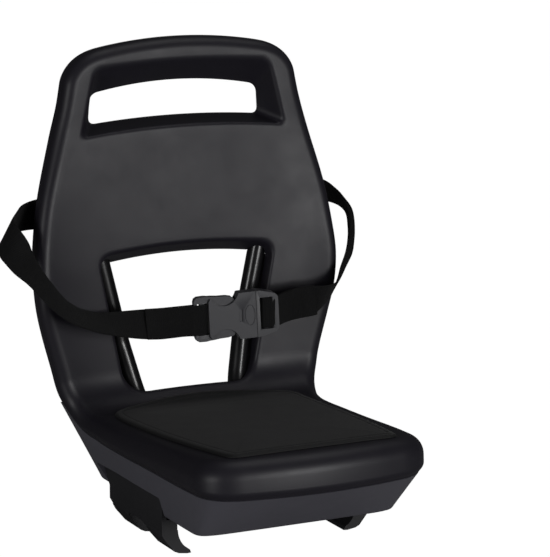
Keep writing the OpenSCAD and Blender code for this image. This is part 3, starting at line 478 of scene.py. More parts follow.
@dataclass(frozen=True)
class PowderCoat:
    """Gloss powder coat on steel tube: slight orange peel under a clear gloss."""

    name: str
    slot: str
    colour: str
    roughness: float = 0.28
    peel_mm: float = 2.2

    def build(self) -> bpy.types.Material:
        """Makes the material: orange peel bump of peel_mm and faint dust in the roughness."""
        mat, tree, shader = new_material(self.name, {"Coat Weight": 0.4, "Coat Roughness": 0.12})
        place = add(tree, "ShaderNodeTexCoord").outputs["Object"]
        peel = add(tree, "ShaderNodeTexNoise", values={"Scale": 1000 / self.peel_mm, "Detail": 1.0},
                   links={"Vector": place})
        bump = add(tree, "ShaderNodeBump", values={"Strength": 0.25, "Distance": 0.05 * MM},
                   links={"Height": peel.outputs[0]})
        dust = add(tree, "ShaderNodeTexNoise", values={"Scale": 60.0, "Detail": 5.0}, links={"Vector": place})
        rough = add(tree, "ShaderNodeMapRange", values={3: self.roughness - 0.04, 4: self.roughness + 0.08},
                    links={0: dust.outputs[0]})
        tone = add(tree, "ShaderNodeMix", {"data_type": "RGBA"}, {6: linear(self.colour), 7: shade(self.colour, 1.3)},
                   {0: dust.outputs[0]})
        wire(tree, shader, {"Base Color": tone.outputs[2], "Roughness": rough.outputs[0], "Normal": bump.outputs[0]})
        return mat


@dataclass(frozen=True)
class ZincSteel:
    """Zinc plated steel: bright grey metal with fine turning marks."""

    name: str
    slot: str
    colour: str = "#b9bbbf"
    roughness: float = 0.34

    def build(self) -> bpy.types.Material:
        """Makes the material: marks 0.25 mm apart and cloudy passivation at 4 mm."""
        mat, tree, shader = new_material(self.name, {"Metallic": 1.0})
        place = add(tree, "ShaderNodeTexCoord").outputs["Object"]
        clouds = add(tree, "ShaderNodeTexNoise", values={"Scale": 250.0, "Detail": 4.0}, links={"Vector": place})
        tone = add(tree, "ShaderNodeMix", {"data_type": "RGBA"}, {6: shade(self.colour, 0.8), 7: linear(self.colour)},
                   {0: clouds.outputs[0]})
        marks = add(tree, "ShaderNodeTexNoise", values={"Scale": 4000.0, "Detail": 2.0}, links={"Vector": place})
        rough = add(tree, "ShaderNodeMapRange", values={3: self.roughness - 0.08, 4: self.roughness + 0.12},
                    links={0: clouds.outputs[0]})
        bump = add(tree, "ShaderNodeBump", values={"Strength": 0.3, "Distance": 0.02 * MM},
                   links={"Height": marks.outputs[0]})
        wire(tree, shader, {"Base Color": tone.outputs[2], "Roughness": rough.outputs[0], "Normal": bump.outputs[0]})
        return mat


@dataclass(frozen=True)
class Webbing:
    """Woven polyester webbing: ribs across the strap, a soft selvedge and a low sheen."""

    name: str
    slot: str
    colour: str
    rib_mm: float = 1.6
    yarn_mm: float = 1.1
    roughness: float = 0.72

    def build(self) -> bpy.types.Material:
        """Makes the material from UV in millimetres: U runs along the strap and V across it.

        The weave is a twill of half-round yarns: |sin(pi u/rib)| raised against |sin(pi v/yarn)|.
        """
        mat, tree, shader = new_material(self.name, {"Sheen Weight": 0.04, "Sheen Roughness": 0.5,
                                         "Specular IOR Level": 0.25, "Roughness": self.roughness})
        uv = add(tree, "ShaderNodeUVMap", {"uv_map": "strap"}).outputs[0]
        split = add(tree, "ShaderNodeSeparateXYZ", links={0: uv})
        across = add(tree, "ShaderNodeMath", {"operation": "MULTIPLY"}, {1: math.pi / self.rib_mm},
                     {0: split.outputs[0]})
        lean = add(tree, "ShaderNodeMath", {"operation": "MULTIPLY_ADD"}, {1: math.pi / self.yarn_mm},
                   {0: split.outputs[1], 2: across.outputs[0]})
        ribs = add(tree, "ShaderNodeMath", {"operation": "SINE"}, links={0: across.outputs[0]})
        yarns = add(tree, "ShaderNodeMath", {"operation": "SINE"}, links={0: lean.outputs[0]})
        rib_height = add(tree, "ShaderNodeMath", {"operation": "ABSOLUTE"}, links={0: ribs.outputs[0]})
        yarn_height = add(tree, "ShaderNodeMath", {"operation": "ABSOLUTE"}, links={0: yarns.outputs[0]})
        height = add(tree, "ShaderNodeMath", {"operation": "MULTIPLY_ADD"}, {1: 0.6},
                     {0: rib_height.outputs[0], 2: yarn_height.outputs[0]})
        fuzz = add(tree, "ShaderNodeTexNoise", values={"Scale": 2.5, "Detail": 4.0}, links={"Vector": uv})
        total = add(tree, "ShaderNodeMath", {"operation": "MULTIPLY_ADD"}, {1: 0.35},
                    {0: fuzz.outputs[0], 2: height.outputs[0]})
        bump = add(tree, "ShaderNodeBump", values={"Strength": 0.8, "Distance": 0.3 * MM},
                   links={"Height": total.outputs[0]})
        # Colour follows the weave's height, the same height as the bump: painted shade in the hollows between yarns
        # and a painted highlight on the raised yarns.
        tone = add(tree, "ShaderNodeMix", {"data_type": "RGBA"}, {6: shade(self.colour, 0.5),
                   7: shade(self.colour, 1.5)}, {0: height.outputs[0]})
        wire(tree, shader, {"Base Color": tone.outputs[2], "Normal": bump.outputs[0]})
        return mat


@dataclass(frozen=True)
class PadCloth:
    """Thin foam pad with an embossed leathercloth cover: matt black with a fine pebble grain."""

    name: str
    slot: str
    colour: str
    pebble_mm: float = 1.4
    roughness: float = 0.62

    def build(self) -> bpy.types.Material:
        """Makes the material: pebbles of pebble_mm, broad softness at 30 mm and a low sheen."""
        mat, tree, shader = new_material(self.name, {"Sheen Weight": 0.1, "Sheen Roughness": 0.4,
                                         "Specular IOR Level": 0.45})
        place = add(tree, "ShaderNodeTexCoord").outputs["Object"]
        pebbles = add(tree, "ShaderNodeTexVoronoi", {"feature": "F1"}, {"Scale": 1000 / self.pebble_mm},
                      {"Vector": place})
        soft = add(tree, "ShaderNodeTexNoise", values={"Scale": 1 / 0.03, "Detail": 3.0}, links={"Vector": place})
        height = add(tree, "ShaderNodeMath", {"operation": "MULTIPLY_ADD"}, {1: 2.0},
                     {0: soft.outputs[0], 2: pebbles.outputs[0]})
        bump = add(tree, "ShaderNodeBump", values={"Strength": 0.6, "Distance": 0.12 * MM},
                   links={"Height": height.outputs[0]})
        tone = add(tree, "ShaderNodeMix", {"data_type": "RGBA"}, {6: shade(self.colour, 0.75),
                   7: shade(self.colour, 1.2)}, {0: soft.outputs[0]})
        rough = add(tree, "ShaderNodeMapRange", values={3: self.roughness - 0.06, 4: self.roughness + 0.08},
                    links={0: soft.outputs[0]})
        wire(tree, shader, {"Base Color": tone.outputs[2], "Roughness": rough.outputs[0], "Normal": bump.outputs[0]})
        return mat


SHELL_PLASTIC = MouldedPlastic("moulded polypropylene, dark grey", "shell_plastic", "#232129", 0.44)
# The tray's grey is lighter than the shell's. Part of that is the plastic's own slightly lighter tone. The rest is
# painted light, standing in for the white floor's bounce on its down-facing front.
TRAY_PLASTIC_AND_PAINTED_BOUNCE = MouldedPlastic("moulded polypropylene, mid grey", "tray_plastic", "#64636c", 0.42)
HOOK_PLASTIC = MouldedPlastic("glass filled nylon", "hook_plastic", "#2c2c2f", 0.5, Grain.SATIN)
BUCKLE_PLASTIC = MouldedPlastic("moulded acetal", "buckle_plastic", "#48484c", 0.36, Grain.SATIN)
NYLON = MouldedPlastic("moulded nylon, black", "black_plastic", "#151517", 0.45, Grain.SATIN)
TUBE_COAT = PowderCoat("gloss powder coat, black", "tube_paint", "#0e0e10")
ZINC = ZincSteel("zinc plated steel", "steel")
STRAP = Webbing("polyester webbing, black", "webbing", "#0a0a0b")
PAD_COVER = PadCloth("embossed leathercloth, black", "pad_fabric", "#151516")


def dress(piece: bpy.types.Object, mat: bpy.types.Material) -> None:
    """Gives a piece one material in all its slots.

    Args:
        piece: Object to dress.
        mat: Material for it.
    """
    if not piece.data.materials:
        piece.data.materials.append(mat)
    for slot in piece.material_slots:
        slot.material = mat


# ---- Seat shell ---------------------------------------------------------------------------------


@dataclass(frozen=True)
class FacePath:
    """Line of the shell's face on the middle plane: straight seat, round bend, straight back."""

    seat_len: float = 215.5
    back_len: float = 265.0
    front_y: float = -133.5
    front_z: float = 68.5
    tilt: float = math.radians(3.9)
    recline: float = math.radians(1.8)
    bend_r: float = 30.0

    @property
    def turn(self) -> float:
        """Angle of the bend."""
        return math.pi / 2 - self.recline + self.tilt

    @property
    def bend_run(self) -> float:
        """Length of the bend."""
        return self.bend_r * self.turn

    @property
    def length(self) -> float:
        """Length of the whole face."""
        return self.seat_len + self.bend_run + self.back_len

    def heading(self, s: Array) -> Array:
        """Angle above the horizontal at run s: -tilt, then growing by s / bend_r."""
        return np.clip((s - self.seat_len) / self.bend_r, 0, self.turn) - self.tilt

    def line(self, s: Array) -> tuple[Array, Array]:
        """Y and Z of the face at run s: seat line + bend_r (sin h - sin h0, cos h0 - cos h) + back line."""
        h, h0 = self.heading(s), -self.tilt
        seat = np.minimum(s, self.seat_len)
        back = np.maximum(s - self.seat_len - self.bend_run, 0)
        ahead, up = self.bend_r * (np.sin(h) - math.sin(h0)), self.bend_r * (math.cos(h0) - np.cos(h))
        y = self.front_y + seat * math.cos(h0) + ahead + back * math.sin(self.recline)
        z = self.front_z + seat * math.sin(h0) + up + back * math.cos(self.recline)
        return y, z


@dataclass
class SeatShell:
    """One moulded wall from the seat's front lip to the top of the backrest, with a rolled rim and two funnels."""

    path: FacePath = field(default_factory=FacePath)
    wall: float = 3.2
    arch: float = 6.0
    stations: Array = field(default_factory=lambda: np.array([
        [0, 96.5, -2, 15, 29.5, 3.5], [0.17, 96.5, -2, 14, 26.3, 3.5], [0.28, 98, -2, 13.5, 24.6, 3.5],
        [0.52, 99.5, -2, 13, 21, 3.5], [0.71, 101, -1.5, 13, 18.8, 3.5], [0.9, 101.5, 0, 12.5, 17.4, 3.5],
        [1, 103.5, 3, 12, 16.2, 3], [1.095, 109, 7, 12, 15, 1.5], [1.165, 114.5, 10, 12, 15, 0.5],
        [1.02, 118.5, 11, 12, 16, 0], [1.125, 126, 12, 11.5, 16, 0], [1.21, 131, 13.5, 11, 16, 0],
        [1.305, 133, 13.5, 11, 16, 0], [1.39, 131.5, 10.5, 10.5, 16, 0], [1.53, 125.2, 6.5, 10, 16, 0],
        [1.715, 111.8, 2, 10, 16, 0], [1.825, 104, 2, 10, 16, 0], [2, 96, 2, 10, 17, 0]]))

    def __post_init__(self) -> None:
        """Turns the station's parts of the seat and of the back into runs in millimetres."""
        table, p = self.stations.copy(), self.path
        table[:9, 0] *= p.seat_len
        table[9:, 0] = p.seat_len + p.bend_run + (table[9:, 0] - 1) * p.back_len
        self.table = table
        self.outline = self.make_outline()
        self.inward = inward_of(self.outline, 1.5)

    def at(self, s: Array, column: int) -> Array:
        """Smooth value of a station column at run s, by cubic pieces with the neighbours' mean slopes."""
        run, value = self.table[:, 0], self.table[:, column]
        ahead, behind = np.r_[run[1:], run[-1]], np.r_[run[0], run[:-1]]
        slope = (np.r_[value[1:], value[-1]] - np.r_[value[0], value[:-1]]) / (ahead - behind)
        i = np.clip(np.searchsorted(run, s, side="right") - 1, 0, len(run) - 2)
        h = run[i + 1] - run[i]
        t = np.clip((s - run[i]) / h, 0, 1)
        return ((2 * t**3 - 3 * t**2 + 1) * value[i] + (t**3 - 2 * t**2 + t) * h * slope[i]
                + (3 * t**2 - 2 * t**3) * value[i + 1] + (t**3 - t**2) * h * slope[i + 1])

    def point(self, x: Array, s: Array, n: Array) -> Array:
        """Point at width x, run s and depth n behind the face, which bows forward by bow (x/W)^3.

        Args:
            x: Distance from the middle plane.
            s: Run along the face.
            n: Depth behind the face.

        Returns:
            Points as (x, y, z).
        """
        m = n - self.at(s, 2) * np.minimum(1, np.abs(x) / self.at(s, 1)) ** 3
        y, z = self.path.line(s)
        h = self.path.heading(s)
        return np.stack(np.broadcast_arrays(x, y + m * np.sin(h), z - m * np.cos(h)), -1)

    def run_at(self, x: Array, z: Array, n: float = 0.0) -> Array:
        """Run at which the surface of depth n has height z, by halving the bend and back line."""
        low, high = np.full_like(z, self.path.seat_len + 4), np.full_like(z, self.path.length + 20)
        for _ in range(34):
            mid = (low + high) / 2
            under = self.point(x, mid, n)[..., 2] < z
            low, high = np.where(under, mid, low), np.where(under, high, mid)
        return (low + high) / 2

    def make_outline(self) -> Array:
        """Closed outline in the flattened face: slightly arched front and top, curved corners, sides W(s)."""
        end = self.path.length
        a = np.linspace(0, 62, 40)
        front = np.stack([a, 7.6 * (a / 70) ** 2], 1)
        corner = bezier([62, 6], [95, 10.5], [96.5, 38], 40)[1:]
        s = np.linspace(38, end - 30, 320)[1:]
        side = np.stack([self.at(s, 1), s], 1)
        top_corner = bezier(side[-1], [93.5, end - self.arch * 1.7], [68, end - self.arch], 40)[1:]
        b = np.linspace(68, 0, 40)[1:]
        top = np.stack([b, end - self.arch * (b / 68) ** 2], 1)
        half = resample(np.concatenate([front, corner, side, top_corner, top]), 331)
        return soften(mirrored(half), 1.2)

    def edge_depth(self, x: Array, s: Array) -> Array:
        """Depth of the rim's lower edge, whose height does not follow the bow."""
        return self.at(s, 4) - self.at(s, 2) * (1 - np.minimum(1, np.abs(x) / self.at(s, 1)) ** 3)

    def rim(self, t: float) -> Array:
        """Rim of the skin that lies t inside the outer one, as (inset, depth) for each profile step and ring point.

        From the lower edge inset + tuck (1-u)^2 rises to the side, then a quarter circle of the rim's radius
        turns into the face: inset = r - (r-t) cos a, depth = r - (r-t) sin a.

        Args:
            t: Distance inside the outer skin.

        Returns:
            Array (steps, ring, 2).
        """
        x, s = self.outline[:, 0], self.outline[:, 1]
        r, tuck = self.at(s, 3), self.at(s, 5)
        deep = self.edge_depth(x, s)
        rise = np.minimum(np.maximum(1.0, 2 * tuck), deep - 6)
        sign = 1 if t == 0 else -1
        lip = np.array([[0.9, 0.0], [0.3, 0.12], [0.05, 0.4], [0.0, 0.9]])
        rows = [np.stack([t + tuck + sign * a, deep - b], 1) for a, b in lip]
        for u in np.linspace(0.2, 1, 8):
            rows.append(np.stack([t + tuck * (1 - u) ** 2, deep - 0.9 - (rise - 0.9) * u], 1))
        first = np.arcsin(np.clip((r - deep + rise + 1.0) / (r - t), 0, 0.9))
        for k in np.linspace(0, 1, 15):
            a = first + (math.pi / 2 - first) * k
            rows.append(np.stack([r - (r - t) * np.cos(a), r - (r - t) * np.sin(a)], 1))
        return np.array(rows)

    def opening(self, half: tuple, z: tuple, rise: tuple, r: tuple, g: float) -> Array:
        """Closed outline of an opening in the upright plane, grown by g: arched edges and curved corners.

        Args:
            half: Half widths of the top and bottom edges.
            z: Heights of the top and bottom corners.
            rise: Arch of the top and bottom edges.
            r: Radii of the top and bottom corners.
            g: Growth to all sides.

        Returns:
            Array of (x, z) points with the same count for all openings.
        """
        hx, hz = (half[0] + g, half[1] + g), (z[0] + g, z[1] - g)
        lean = (hx[1] - hx[0]) / (hz[0] - hz[1])
        t = np.linspace(0, hx[0] - r[0], 36)
        top = np.stack([-t, hz[0] + rise[0] * (1 - (t / hx[0]) ** 2)], 1)
        b = np.linspace(hx[1] - r[1], 0, 36)
        low = np.stack([-b, hz[1] + rise[1] * (1 - (b / hx[1]) ** 2)], 1)
        end = np.array([-hx[0] - lean * r[0], hz[0] - r[0]])
        start = np.array([-hx[1] + lean * r[1], hz[1] + r[1]])
        corner = bezier(top[-1], [-hx[0], hz[0]], end, 14)[1:]
        side = (end + (start - end) * np.linspace(0, 1, 22)[1:, None])
        heel = bezier(start, [-hx[1], hz[1]], low[0], 14)[1:]
        return mirrored(np.concatenate([top, corner, side, heel, low[1:]]))

    def slot(self, g: float) -> tuple[Array, Array, float, float]:
        """Front and rear outline of the hand slot grown by g, and the two depths they lie at."""
        front = self.opening((76, 88.5), (326.7, 272.7), (4.5, 5), (9, 7), g)
        rear = self.opening((73, 74), (302.7, 279.7), (8, 3.7), (7, 6), g)
        return front, rear, 120.34, 141.34

    def window(self, g: float) -> tuple[Array, Array, float, float]:
        """Front and rear outline of the lower opening grown by g, and the two depths they lie at."""
        front = self.opening((78, 56), (177.8, 63.8), (6.5, 1), (14, 20), g)
        rear = self.opening((76, 54), (164.8, 63.8), (6.5, 1), (13, 19), g)
        return front, rear, 112.73, 133.73

    def on_line(self, hole: tuple, y: Array) -> Array:
        """Points of an opening's wall at depth y, on the straight lines between its outlines."""
        front, rear, y0, y1 = hole
        xz = front + (rear - front) * ((y - y0) / (y1 - y0))[:, None]
        return np.stack([xz[:, 0], y, xz[:, 1]], 1)

    def meet(self, hole: tuple, n: float) -> tuple[Array, Array]:
        """Where an opening's wall lines meet the skin of depth n: points, and their (x, run)."""
        y = np.full(len(hole[0]), hole[2])
        for _ in range(12):
            p = self.on_line(hole, y)
            s = self.run_at(p[:, 0], p[:, 2], n)
            y = self.point(p[:, 0], s, n)[:, 1]
        return self.point(p[:, 0], s, n), np.stack([p[:, 0], s], 1)

    def funnel(self, kind: str) -> tuple[Array, Array, Array]:
        """Wall rings of an opening from the face through the funnel to the inner skin.

        The edge on the face is a curve from the grown outline to the wall; the rear lip is a half round.

        Args:
            kind: "slot" or "window".

        Returns:
            Rings (steps, ring, 3), and the (x, run) loops on the outer and the inner skin.
        """
        shape = self.slot if kind == "slot" else self.window
        edge, back_edge, thick = 3.2, 1.6, 3.0
        face, face_loop = self.meet(shape(edge), 0.0)
        corner, _ = self.meet(shape(0), 0.0)
        skin, skin_loop = self.meet(shape(thick + back_edge), self.wall)
        outer_corner, _ = self.meet(shape(thick), self.wall)
        inner, outer = shape(0), shape(thick)
        full = 1.0 if kind == "slot" else step(corner[:, 2], 66, 73)
        rear = (corner[:, 1] + self.wall * 1.35) * (1 - full) + inner[3] * full
        rear = np.maximum(rear, outer_corner[:, 1] + 1.2)
        end_in, end_out = self.on_line(inner, rear - 1.4), self.on_line(outer, rear - 1.4)
        tip = (self.on_line(inner, rear) + self.on_line(outer, rear)) / 2
        wall_start = corner + unit(end_in - corner) * edge
        rows = [*bezier(face, corner, wall_start, 9)]
        rows += [wall_start + (end_in - wall_start) * k for k in np.linspace(0, 1, 7)[1:]]
        rows += [*bezier(end_in, self.on_line(inner, rear), tip, 5)[1:]]
        rows += [*bezier(tip, self.on_line(outer, rear), end_out, 5)[1:]]
        start_out = outer_corner + unit(end_out - outer_corner) * np.minimum(
            back_edge, np.linalg.norm(end_out - outer_corner, axis=1) * 0.5)[:, None]
        rows += [end_out + (start_out - end_out) * k for k in np.linspace(0, 1, 6)[1:]]
        rows += [*bezier(start_out, outer_corner, skin, 6)[1:]]
        return np.array(rows), face_loop, skin_loop

    def panel(self, loops: list[Array], n: float, pitch: float) -> tuple[Array, Array]:
        """Triangles of the face between an outer loop and the loops of its openings.

        Args:
            loops: Closed (x, run) loops, the outer one first.
            n: Depth of the skin behind the face.
            pitch: Distance between the inner points.

        Returns:
            Points of space and triangles.
        """
        x, s = np.meshgrid(np.arange(-132, 133, pitch), np.arange(2, self.path.length, pitch))
        x = x + (np.arange(len(x)) % 2)[:, None] * pitch / 2
        free = np.stack([x.ravel(), s.ravel()], 1)
        keep = inside(free, loops[0])
        for loop in loops[1:]:
            keep &= ~inside(free, loop)
        for loop in loops:
            gap = np.min(np.linalg.norm(free[:, None] - loop[None, ::2], axis=2), axis=1)
            keep &= gap > pitch * 0.6
        points = np.concatenate(loops + [free[keep]])
        starts = np.cumsum([0] + [len(loop) for loop in loops])
        edges = np.concatenate([np.stack([a + np.arange(len(loop)), a + (np.arange(len(loop)) + 1) % len(loop)], 1)
                                for a, loop in zip(starts, loops)])
        flat, _, tris, *_ = delaunay_2d_cdt([Vector(p) for p in points], edges.tolist(), [], 0, 1e-4)
        flat = np.array([tuple(v) for v in flat])
        tris = np.array(tris)
        middle = flat[tris].mean(1)
        good = inside(middle, loops[0])
        for loop in loops[1:]:
            good &= ~inside(middle, loop)
        return self.point(flat[:, 0], flat[:, 1], n), tris[good]

    def build(self) -> bpy.types.Object:
        """Makes the shell: rims and faces of both skins and the openings' walls as one mesh, less the legs' room."""
        rims, loops = [], []
        for t in (0.0, self.wall):
            profile = self.rim(t)
            flat = self.outline[None] + profile[..., :1] * self.inward[None]
            grid = self.point(flat[..., 0], flat[..., 1], profile[..., 1])
            rims.append(grid)
            loops.append(flat[-1])
        grid = np.concatenate([rims[0][::-1], rims[1]])
        parts = [(grid.reshape(-1, 3), [ring_quads(*grid.shape[:2])])]
        skins = [[loops[0]], [loops[1]]]
        for kind in ("slot", "window"):
            rings, outer_loop, inner_loop = self.funnel(kind)
            parts.append((rings.reshape(-1, 3), [ring_quads(*rings.shape[:2])]))
            skins[0].append(outer_loop)
            skins[1].append(inner_loop)
        for skin, depth in zip(skins, (0.0, self.wall)):
            flat, tris = self.panel(skin, depth, 4.0)
            parts.append((flat, [tris]))
        piece = make_piece("seat_shell_skin", *joined(parts), 50, weld=0.02, recalc=True)
        cut(piece, FrameTube(radius=8.3).legs(), 50)
        return piece

    def ribs(self) -> bpy.types.Object:
        """Makes the ribs of the shell's back: half-round bars that follow the inner skin, 2.6 mm proud."""
        a = np.linspace(0, 2 * math.pi, 13)[:-1]
        section = np.stack([1.25 * np.cos(a), 1.9 * np.sin(a)], 1)
        parts = []
        ends = [((-84, z), (84, z)) for z in (192, 230, 243, 256)]
        ends += [((x, 190), (x, 264)) for x in (-60, -22, 22, 60)]
        for start, stop in ends:
            line = np.array(start, float) + (np.array(stop, float) - start) * np.linspace(0, 1, 60)[:, None]
            s = self.run_at(line[:, 0], line[:, 1])
            path = self.point(line[:, 0], s, self.wall + 0.6)
            normal = unit(self.point(line[:, 0], s, self.wall + 1.6) - path)
            along = unit(np.gradient(path, axis=0))
            side = np.cross(along, normal)
            near_end = np.minimum(np.linspace(0, 60, 60), np.linspace(60, 0, 60))
            taper = np.minimum(1, near_end / 1.5 + 0.35)[:, None, None]
            ring = section[None, :, :1] * side[:, None] + section[None, :, 1:] * normal[:, None]
            parts.append(capped(path[:, None] + taper * ring, ring_quads(60, 12)))
        return make_piece("shell_ribs", *joined(parts), 50, recalc=True)

    def bosses(self) -> bpy.types.Object:
        """Makes the shell's screw bosses: four under the saddles' screws and four over the tray's."""
        bar_y, bar_z, saddle_x, hole, boss_r = 135.05, 254, 45, 14.5, 4.5
        pairs = [((sx * saddle_x, 119.5, bar_z + dz), (sx * saddle_x, bar_y, bar_z + dz))
                 for sx in (-1, 1) for dz in (-hole, hole)]
        slope, foot = math.tan(self.path.tilt), 12
        for x, y in SHELL_SCREWS:
            top = self.path.front_z - (y - self.path.front_y) * slope - 2
            pairs.append(((x, y, top), (x, y, foot)))
        side = np.array([1.0, 0, 0])
        parts = [capped(*swept(np.linspace(a, b, 3), circle(boss_r, 32), side)) for a, b in pairs]
        return make_piece("shell_bosses", *joined(parts), 40, recalc=True)


# ---- Seat pad -----------------------------------------------------------------------------------


@dataclass
class SeatPad:
    """Thin foam pad on the seat face: crowned in the middle, rolled at the edge, with a fine welded line round it."""

    shell: SeatShell
    start: float = 18.0
    end: float = 208.0
    height: float = 2.1
    crown: float = 1.4

    def outline(self) -> Array:
        """Closed outline in the flattened face: nearly straight front, bowed sides and a round rear edge."""
        a, e = self.start, self.end
        half = np.concatenate([
            spline([[0, a], [34, a + 0.3], [62, a + 1]], 30),
            bezier([62, a + 1], [69.5, a + 0.5], [71, a + 8], 12)[1:],
            bezier([71, a + 8], [83, 100], [82.5, e - 6], 60)[1:],
            bezier([82.5, e - 6], [82.5, e + 9], [72, e + 14], 20)[1:],
            bezier([72, e + 14], [42, e + 27], [0, e + 27.6], 40)[1:]])
        return soften(mirrored(resample(half, 181)), 2.0)

    def surface(self, lift: Array, flat: Array) -> Array:
        """Points at height lift over the shell's face; over the bend the pad bridges a little more."""
        rise = 0.3 + lift + np.maximum(0, flat[..., 1] - self.shell.path.seat_len + 9) * 0.065
        return self.shell.point(flat[..., 0], flat[..., 1], -rise)

    def build(self) -> bpy.types.Object:
        """Makes the pad as rings from its underside round a soft edge to the middle.

        Height over the face = height (1 - (1-u)^3) over the first 5 mm from the edge, less a welded line 0.25 mm deep
        at 6.5 mm, plus crown (1 - (1-v)^2) towards the middle.
        """
        loop = self.outline()
        middle = np.array([0.0, (self.start + self.end) / 2 + 6])
        reach = np.linalg.norm(loop - middle, axis=1)
        inward = inward_of(loop, 2.0)
        rings = []
        for inset in (9.0, 4.0, 0.5):
            rings.append(self.surface(0.0, loop + inset * inward))
        near = [0.0, 0.15, 0.4, 0.8, 1.4, 2.1, 3.0, 4.0, 5.0, 5.6, 6.1, 6.5, 6.9, 7.4, 8.2, 9.5, 11.5, 14.0]
        for d in near:
            u = min(1, d / 5)
            groove = 0.25 * math.exp(-((d - 6.5) / 0.6) ** 2)
            lift = self.height * (1 - (1 - u) ** 3) ** 0.6 - groove + self.crown * (1 - (1 - d / 75) ** 2)
            rings.append(self.surface(max(0.05, lift), loop + d * inward))
        base = loop + near[-1] * inward
        for k in np.linspace(0, 1, 26)[1:]:
            flat = base + (middle - base) * k
            d = near[-1] + k * (reach - near[-1])
            lift = self.height + self.crown * (1 - (1 - np.minimum(1, d / 75)) ** 2)
            rings.append(self.surface(lift, flat))
        grid = np.array(rings)
        quads = ring_quads(len(grid), len(loop))
        under = self.surface(0.0, loop[:1] * 0 + middle)
        points = np.concatenate([grid.reshape(-1, 3), under])
        tail = len(points) - 1
        closing = [[int((i + 1) % len(loop)), int(i), tail] for i in range(len(loop))]
        return make_piece("seat_pad_cover", points, [quads, closing], 60, weld=0.005, recalc=True)


# ---- Frame tube ---------------------------------------------------------------------------------


@dataclass
class FrameTube:
    """Bent steel tube: two feet in the tray, two legs behind the backrest and a cross bar."""

    radius: float = 7.5
    bore: float = 6.3
    half: Array = field(default_factory=lambda: np.array([
        [0, 135.05, 254], [88.98, 135.05, 254], [69, 131, 166], [54.3, 128.5, 102], [45.6, 119.8, 64],
        [36, 98.5, 21], [36, -62, 21]]))
    bends: tuple = (0, 28, 90, 60, 60, 33, 0)

    def line(self) -> Array:
        """Middle line: straight runs joined by round bends, p = start + side r (1 - cos t) + ahead r sin t."""
        path = np.concatenate([(self.half * [-1, 1, 1])[:0:-1], self.half[1:]])
        bends = (*self.bends[:0:-1], *self.bends[1:])
        parts = [path[:1]]
        for i in range(1, len(path) - 1):
            a, b = unit(path[i] - path[i - 1]), unit(path[i + 1] - path[i])
            turn = math.acos(np.clip(a @ b, -1, 1))
            side = unit(b - a * (b @ a))
            start = path[i] - a * bends[i] * math.tan(turn / 2)
            t = np.linspace(0, turn, max(4, int(math.degrees(turn) / 4)))[:, None]
            parts.append(start + side * bends[i] * (1 - np.cos(t)) + a * bends[i] * np.sin(t))
        line = np.concatenate(parts + [path[-1:]])
        return resample(line, 420)

    def legs(self) -> list[bpy.types.Object]:
        """Makes both legs as solid bars, from the tray to the belt's loops, for the room that they need."""
        line = self.line()
        bars = []
        for side in (-1, 1):
            part = line[(line[:, 0] * side > 0) & (line[:, 2] > 40) & (line[:, 2] < 205)]
            grid, quads = swept(part, circle(self.radius, 40), np.array([1.0, 0, 0]))
            points, faces = capped(grid, quads)
            bars.append(make_piece("leg_room", points, faces, recalc=True))
        return bars

    def build(self) -> bpy.types.Object:
        """Makes the hollow tube: outer and inner skin along the same line, joined at both ends."""
        line = self.line()
        sides, up = 48, np.array([0, 0, 1.0])
        outer, quads = swept(line, circle(self.radius, sides), up)
        inner, _ = swept(line, circle(self.bore, sides), up)
        n = outer.shape[0] * sides
        k = np.arange(sides)
        m = (k + 1) % sides
        ends = np.stack([k, m, n + m, n + k], 1)
        faces = [quads, quads + n, ends, ends + n - sides]
        points = np.concatenate([outer.reshape(-1, 3), inner.reshape(-1, 3)])
        return make_piece("frame_tube_coated", points, faces, 40, weld=0.002, recalc=True)


# ---- Base tray ----------------------------------------------------------------------------------


